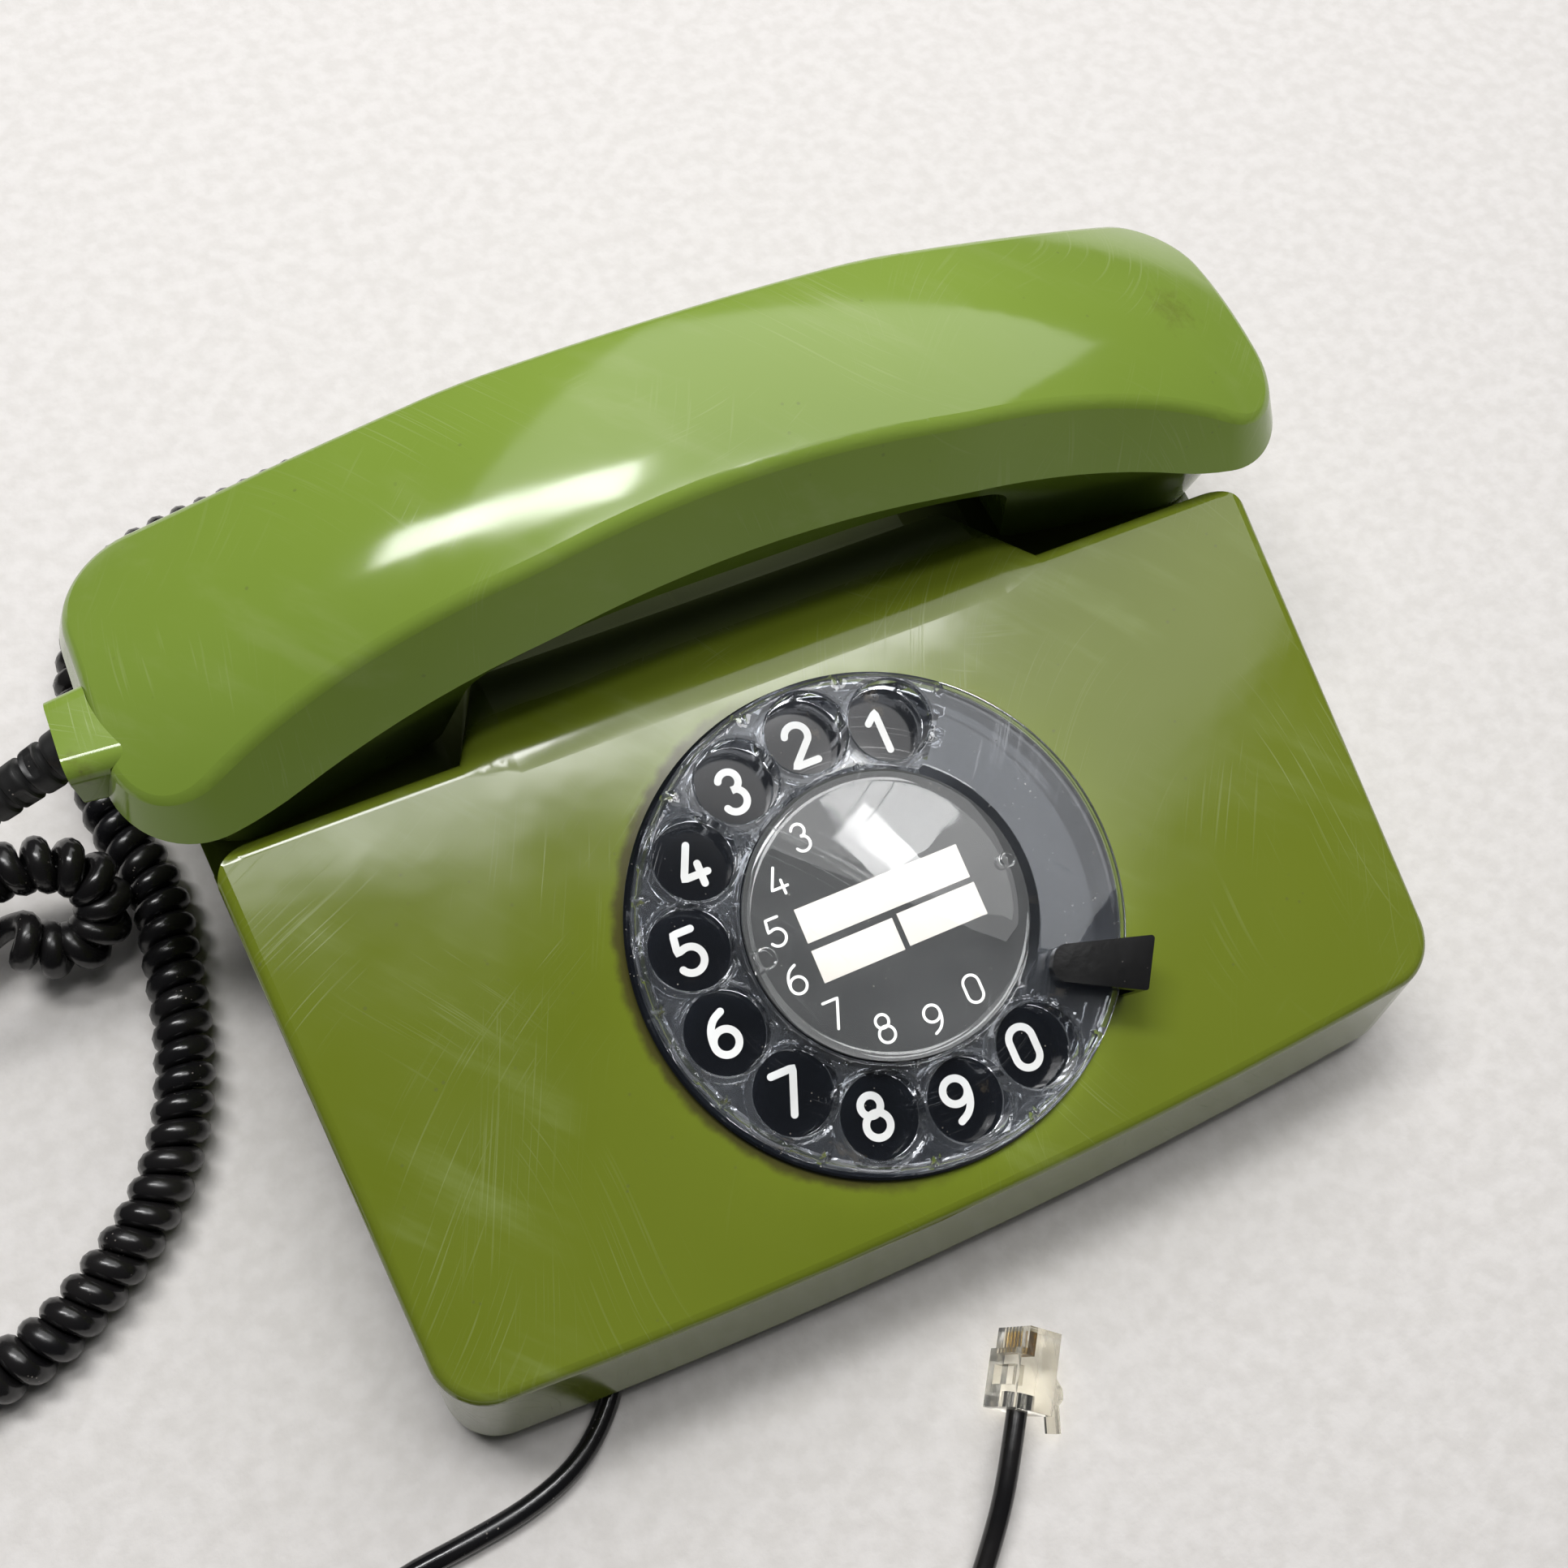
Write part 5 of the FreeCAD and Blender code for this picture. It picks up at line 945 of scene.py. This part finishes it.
# %% [markdown]
# ## Two rings of digits
# The large numbers stand on the black ring, one under each finger hole, and stay there while the dial
# turns. The small ones are on the card and turn with the wheel. All stand upright for a reader in front of
# the telephone.

# %% Number rings
def print_numbers(name, radius, height, width, level, digits, body):
    """Digits standing upright at the finger holes' angles on a circle, as one flat piece on a body."""
    strokes = []
    for digit in digits:
        angle = HOLE_ANGLES[(int(digit) - 1) % 10]
        centre = radius * np.array([math.cos(angle), math.sin(angle)])
        for part, shape in enumerate(DIGITS[digit]):
            placed = centre + (fine_line(shape) - np.array([0, 0.5])) * height
            strokes.append(stroke(placed, width / 2, level + 0.025 * part))
    points, faces = joined(strokes)
    piece = finish_mesh(name, place_points(points, DIAL), faces)
    piece.data.materials.append(PRINT)
    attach(piece, body)
    return piece


ring_numbers = print_numbers("ring_numbers", 29.6, 6.4, 1.15, 0.83, "1234567890", "base")
card_numbers = print_numbers("card_numbers", 17.1, 4.2, 0.42, 6.03, "34567890", "dial")
print("numbers:", len(ring_numbers.data.polygons) + len(card_numbers.data.polygons), "faces")

# %% [markdown]
# ## Blank fields on the card
# Three pale fields on the dark card are where a number could be written. They stay blank: thin rectangles
# with a slightly raised edge.

# %% Card fields
FIELDS = ((-12.9, 0.2, 14.2, 5.6), (-12.9, -6.1, 0.4, -1.0), (1.3, -5.9, 14.4, -0.7))
FIELD_LEVEL = 6.04
FIELD_EDGE = 0.12


def field(left, bottom, right, top):
    """A thin rectangle: its outline at the card, again a little higher, and an inner outline on top."""
    corners = np.array([(left, bottom), (right, bottom), (right, top), (left, top)], float)
    inner = corners + np.sign(corners.mean(0) - corners) * FIELD_EDGE
    rows = [(corners, FIELD_LEVEL - 0.03), (corners, FIELD_LEVEL), (inner, FIELD_LEVEL + 0.02)]
    grid = np.stack([np.concatenate([plan, np.full((4, 1), height)], -1) for plan, height in rows])
    return grid.reshape(-1, 3), grid_faces(3, 4, wrap=True, flip=True) + [[8, 9, 10, 11]]


field_points, field_faces = joined([field(*place) for place in FIELDS])
card_fields = finish_mesh("card_fields", place_points(field_points, DIAL), field_faces)
card_fields.data.materials.append(PAPER)
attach(card_fields, "dial")
print("card fields:", len(FIELDS))

# %% [markdown]
# ## The curly cord
# The handset cord is one wire: a plain tail leaves the handset's strain relief, curls under, and then winds
# itself into a coil that folds over, sweeps out in front and comes back to the rear wall. The tail and the
# coil's middle line are splines, each laid by a short list of given points.

# %% Routes of the handset cord
RELIEF_TIP = np.array([-125.71, 102.93, 45.02])
RELIEF_HEADING = np.array([-0.9376, -0.1008, -0.3327])
TAIL_ROUTE = [
    RELIEF_TIP, RELIEF_TIP + RELIEF_HEADING * 9, (-143, 100.5, 36), (-148, 100, 28.5), (-147.5, 99.5, 20),
    (-142, 99, 13), (-134, 100.5, 8), (-128.6, 103, 7.4), (-123.4, 103, 11.2)]
CURLY_ROUTE = [
    (-124.6, 100.6, 11.9), (-120.6, 97.2, 7.4), (-114.4, 97.2, 7.2), (-110, 100.4, 10), (-110, 105.2, 14.1),
    (-114.4, 108.4, 17), (-121.5, 110, 17.8), (-132, 110, 15.9), (-144, 107, 12.2), (-157, 100.5, 8),
    (-169, 89, 5.5), (-176, 73, 5), (-176, 56, 5.1), (-167, 43, 5), (-154, 36.2, 5.2), (-140, 36.5, 5),
    (-127.6, 43, 5.1), (-116.8, 51.5, 5), (-109.4, 62.5, 5.2), (-105.4, 76, 5), (-103.6, 90, 5.1),
    (-102, 103, 5), (-105.4, 115.5, 5.1), (-106.2, 127.4, 5), (-105.8, 139, 5.1), (-103, 149.6, 5.1),
    (-98.2, 159.8, 5.1), (-92.4, 167.6, 5.1), (-82.6, 171.2, 5.1), (-66.5, 172, 5.9), (-52, 171, 10.6),
    (-46, 166, 14), (-46, 156, 14)]
CURL_RADIUS = 2.8 * MM
WIRE_RADIUS = 2.08 * MM
PITCH = 4.4 * MM
STEPS_PER_TURN = 20
ROUTE_STEPS = 2400
TAIL_STEPS = 70
LEAD_IN = 5 * MM
UP = np.array([0.0, 0.0, 1.0])
FIRST_TURN = np.array([0.436, 0.861, -0.26])  # the side of the middle line on which the first turn begins
print("points of the tail's route:", len(TAIL_ROUTE), "and of the coil's:", len(CURLY_ROUTE))

# %% [markdown]
# ## Winding the wire
# The helix is the middle line plus a radius that turns round it: middle + radius (cos a side + sin a other).
# The side vector is straight up, made square to the line, and the other is square to both. The angle a
# grows with the length along the line, one turn for each pitch. A whole number of turns fits the line, and
# the first one starts on the side where the tail comes in. The tube's own side vector is the helix's
# radius, which keeps the sections of neighbouring turns alike.

# %% Helix and cord
def make_helix():
    """The coil's wire as a path, and its radial vectors: middle + radius (cos a side + sin a other)."""
    middle, length = spaced(read_route(at_depth(CURLY_ROUTE)), ROUTE_STEPS)
    turns = round(length / PITCH)
    middle, length = spaced(middle, turns * STEPS_PER_TURN + 1)
    direction = along(middle)
    side = squared(UP, direction)
    other = np.cross(direction, side)
    first_angle = math.atan2(FIRST_TURN @ other[0], FIRST_TURN @ side[0])
    angle = first_angle + np.linspace(0, 2 * math.pi * turns, len(middle))[:, None]
    radial = side * np.cos(angle) + other * np.sin(angle)
    print("curly cord:", turns, "turns on", round(length, 4), "m")
    return middle + CURL_RADIUS * radial, radial


def make_curly_cord():
    """One swept tube along the tail's spline and then along the helix round the coil's spline."""
    helix, radial = make_helix()
    tail_route = at_depth(TAIL_ROUTE)
    tail_route[-1] = helix[0]
    tail_route[-2] = helix[0] - along(helix)[0] * LEAD_IN
    tail = spaced(read_route(tail_route), TAIL_STEPS)[0]
    share = step(np.linspace(0, 1, len(tail)), 0.3, 1.0)[:, None]
    tail_side = unit(np.array([0.0, 1.0, 0.0]) * (1 - share) + radial[0] * share)
    path = np.vstack([tail[:-1], helix])
    grid = swept_grid(path, np.vstack([tail_side[:-1], radial]), WIRE_RADIUS)
    wire_length = np.linalg.norm(np.diff(path, axis=0), axis=1).sum()
    print("its wire:", round(wire_length, 3), "m")
    return grid_piece("curly_cord", grid, wrap=True, lids=True, sharp=60), path, wire_length


curly_cord, curly_path, curly_length = make_curly_cord()
curly_cord.data.materials.append(CORD)
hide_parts("handset_cord", "handset_cord_tail")
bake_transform(curly_cord)

# %% [markdown]
# ## The strain relief
# Where the cord leaves the handset, a tapered sleeve keeps it from kinking. It is a row of ribs that are
# cut through from alternate sides. Its radius is a function of the length along it and the angle round it:
# the taper, less a groove between ribs, less a slot over half of the turn on each rib.

# %% Strain relief
RELIEF_LENGTH = 27.5 * MM
RELIEF_ROOT = 4.0 * MM
RELIEF_END = 2.8 * MM
RIBS = 7
ROWS_PER_RIB = 12
RELIEF_STEPS = 48
GROOVE_DEPTH = 0.17
SLOT_DEPTH = 0.14


def make_relief(name, tip, heading):
    """A ribbed sleeve: radius = taper x (1 - groove(length)) x (1 - slot(length, angle))."""
    share = np.linspace(0, 1, ROWS_PER_RIB * RIBS + 1)
    turn = np.linspace(0, 2 * math.pi, RELIEF_STEPS, endpoint=False)
    taper = RELIEF_ROOT + (RELIEF_END - RELIEF_ROOT) * share
    rib = np.floor(share * RIBS).astype(int)
    part = share * RIBS - rib
    groove = GROOVE_DEPTH * step(np.abs(part - 0.5), 0.30, 0.44) * (share > 0.06)
    facing = np.cos(turn[None, :] + (rib % 2)[:, None] * math.pi / 2) ** 2
    slotted = step(part, 0.2, 0.32) * step(part, 0.8, 0.68) * (rib > 0)
    slot = SLOT_DEPTH * step(facing, 0.5, 0.8) * slotted[:, None]
    radius = (taper * (1 - groove))[:, None] * (1 - slot)
    heading = heading / np.linalg.norm(heading)
    side = unit(np.cross(heading, UP))
    other = np.cross(heading, side)
    middle = tip + heading * ((share - 1) * RELIEF_LENGTH)[:, None]
    ring = side * np.cos(turn)[:, None] + other * np.sin(turn)[:, None]
    grid = middle[:, None] + ring[None] * radius[..., None]
    return grid_piece(name, grid, wrap=True, lids=True, sharp=30)


relief = make_relief("strain_relief_sleeve", at_depth([RELIEF_TIP])[0], RELIEF_HEADING)
relief.data.materials.append(RELIEF)
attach(relief, "handset")
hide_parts("handset_strain_relief")
print("strain relief:", RIBS, "ribs")

# %% [markdown]
# ## The line cord
# The thin line cord comes out under the housing's front, on its left. Its unseen length is wound in a neat
# coil: three circles side by side in four layers. Within a turn the radius and the height stay, and over
# the last fifth they step to the next circle. The cord then runs back and ends in the plug. Route, turns
# and run are one spline.

# %% Routes of the line cord
LEAD_RADIUS = 1.65 * MM
LEAD_LEVEL = 1.7
LINE_START = [(x, y, LEAD_LEVEL) for x, y in (
    (-47.57, 17.18), (-53.2, 9.6), (-58.6, 1.6), (-64.2, -6), (-70.8, -11), (-79.4, -13.5), (-90, -14.3),
    (-101.5, -14.6), (-112, -18.5), (-119.6, -24.5))]
LINE_RUN = [(x, y, LEAD_LEVEL) for x, y in (
    (-97.6, -71.2), (-86, -70), (-72, -68.8), (-57, -67.4), (-44, -64.2), (-33, -59), (-24.6, -53.4))]
PLUG_END = [(-19.4, -48.4, 2.3), (-14.3, -42.8, 4.2), (-9.34, -36.05, 5.7), (-4.93, -29.98, 5.7)]
COIL_CENTRE = (-105.0, -45.0)
COIL_RADII = (22.95, 19.6, 16.25)
COIL_START = 134.6
COIL_END = 256.0
LAYERS = 4
LAYER_RISE = 3.35
POINTS_PER_TURN = 14
RAMP_POINTS = 9
RAMP_RADIUS = 26.3
OUTSIDE = 1 / math.cos(math.pi / POINTS_PER_TURN / 1.7)  # the spline runs a little inside its control points


def coil_turns():
    """Control points of the coil: radius and height step from circle to circle, then a ramp leads down."""
    circles = []
    for layer in range(LAYERS):
        radii = COIL_RADII if layer % 2 == 0 else COIL_RADII[::-1]
        circles += [(radius, LEAD_LEVEL + LAYER_RISE * layer) for radius in radii]
    circles = np.array(circles)
    turn = np.arange(POINTS_PER_TURN * len(circles)) / POINTS_PER_TURN
    here = np.floor(turn).astype(int)
    after = np.minimum(here + 1, len(circles) - 1)
    share = step(turn - here, 0.8, 1.0)[:, None]
    ring = circles[here] * (1 - share) + circles[after] * share
    down = np.linspace(0, 1, RAMP_POINTS)
    last_radius, last_level = circles[-1]
    ramp_ring = np.stack([last_radius + (RAMP_RADIUS - last_radius) * step(down, 0.0, 0.45),
                          last_level + (LEAD_LEVEL - last_level) * step(down, 0.15, 1.0)], -1)
    radius, level = np.vstack([ring, ramp_ring]).T
    ramp_angle = np.radians(COIL_START + (COIL_END - COIL_START) * down)
    angle = np.concatenate([np.radians(COIL_START) + 2 * math.pi * turn, ramp_angle])
    radius = radius * OUTSIDE
    x = COIL_CENTRE[0] + radius * np.cos(angle)
    y = COIL_CENTRE[1] + radius * np.sin(angle)
    return np.stack([x, y, level], -1)


line_points = at_depth(np.vstack([LINE_START, coil_turns(), LINE_RUN, PLUG_END]))
line_path = read_route(line_points, 8)

# %% [markdown]
# ## The line cord as a piece
# The curve itself is the piece: its bevel depth gives it a round section.

# %% Line cord
line_cord = route_spline("line_cord_lead", line_points, LEAD_RADIUS, 5)
line_cord.data.materials.append(CORD)
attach(line_cord, "base")
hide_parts("line_cord", "line_cord_coil", "line_cord_tail")
print("line cord diameter", round(2000 * LEAD_RADIUS, 2), "mm")

# %% [markdown]
# ## Floor and lamps
# The telephone stands on a plain pale floor under a dim pale sky. A large soft key lamp from behind on the
# right gives most of the light and keeps the front walls dark. Glossy plastic shows its lamps, so the
# others are placed by their glints: a strip on the handset's crown, two dim ones along the top of the face,
# a small wedge on the label.

# %% Stage
FLOOR_REACH = 2.5
FLOOR_LEVEL = -0.0002
FLOOR_DARK = (0.665, 0.64, 0.615, 1)
FLOOR_LIGHT = (0.725, 0.70, 0.68, 1)


def make_floor():
    """A pale matt floor with a very slight weave-like unevenness."""
    material, tree, shader, point = new_material("pale_floor")
    tone = ramp(tree, noise(tree, point, 260.0, 4.0), 0.3, 0.7)
    tree.links.new(blend(tree, tone, FLOOR_DARK, FLOOR_LIGHT), shader.inputs["Base Color"])
    shader.inputs["Roughness"].default_value = 0.9
    raise_grain(tree, shader, noise(tree, point, 420.0, 4.0), 0.3, 0.0006)
    reach = np.linspace(-FLOOR_REACH, FLOOR_REACH, 3)
    grid = np.stack([*np.meshgrid(reach, reach, indexing="ij"), np.full((3, 3), FLOOR_LEVEL)], -1)
    floor = grid_piece("floor", grid)
    floor.data.materials.append(material)


def add_lamp(name, place, width, depth, power, turn=0, aim=None):
    """A rectangular lamp that shines straight down, turned by some degrees, or aimed at a point."""
    lamp = bpy.data.lights.new(name, "AREA")
    lamp.shape = "RECTANGLE"
    lamp.size = width
    lamp.size_y = depth
    lamp.energy = power
    holder = bpy.data.objects.new(name, lamp)
    holder.location = place
    holder.rotation_euler = (0, 0, math.radians(turn))
    if aim:
        holder.rotation_euler = (Vector(aim) - Vector(place)).to_track_quat("-Z", "Y").to_euler()
    bpy.context.scene.collection.objects.link(holder)


make_floor()
add_lamp("key_lamp", (0.40, 0.45, 1.0), 1.25, 1.25, 10.4, aim=(0, 0, 0.03))
add_lamp("strip_lamp", (-0.20, 0.34, 1.0), 0.56, 0.16, 6.0, turn=-25)
add_lamp("broad_lamp", (0.15, 0.035, 1.0), 0.50, 0.10, 1.7)
add_lamp("corner_lamp", (-0.12, 0.015, 1.0), 0.18, 0.06, 0.2)
add_lamp("wedge_lamp", (0.279, -0.125, 1.0), 0.055, 0.095, 0.2, turn=25)
world = bpy.data.worlds.new("pale_sky")
bpy.context.scene.world = world
world.use_nodes = True
sky = world.node_tree.nodes["Background"].inputs
sky["Color"].default_value = (0.93, 0.95, 1.0, 1)
sky["Strength"].default_value = 0.045
bpy.context.scene.view_settings.view_transform = "Standard"
print("lamps:", len(bpy.data.lights))

# %% [markdown]
# ## Camera
# The viewer stands close in front and looks steeply down, with the camera turned a little to the side. On a
# sensor 36 mm wide the lens is a mild wide angle, so what is near looks clearly larger than what is far.

# %% Camera
CAMERA_PLACE = (-0.064356, -0.096109, 0.273702)
CAMERA_TURN = (24.883, -4.065, -24.608)
camera = bpy.data.cameras.new("camera")
camera.sensor_width = 36
camera.lens = 37.62
camera.clip_start = 0.01
viewer = bpy.data.objects.new("camera", camera)
viewer.location = CAMERA_PLACE
viewer.rotation_euler = Euler([math.radians(turn) for turn in CAMERA_TURN])
bpy.context.scene.collection.objects.link(viewer)
bpy.context.scene.camera = viewer
print("camera stands", round(viewer.location.length, 3), "m from the middle of the base")
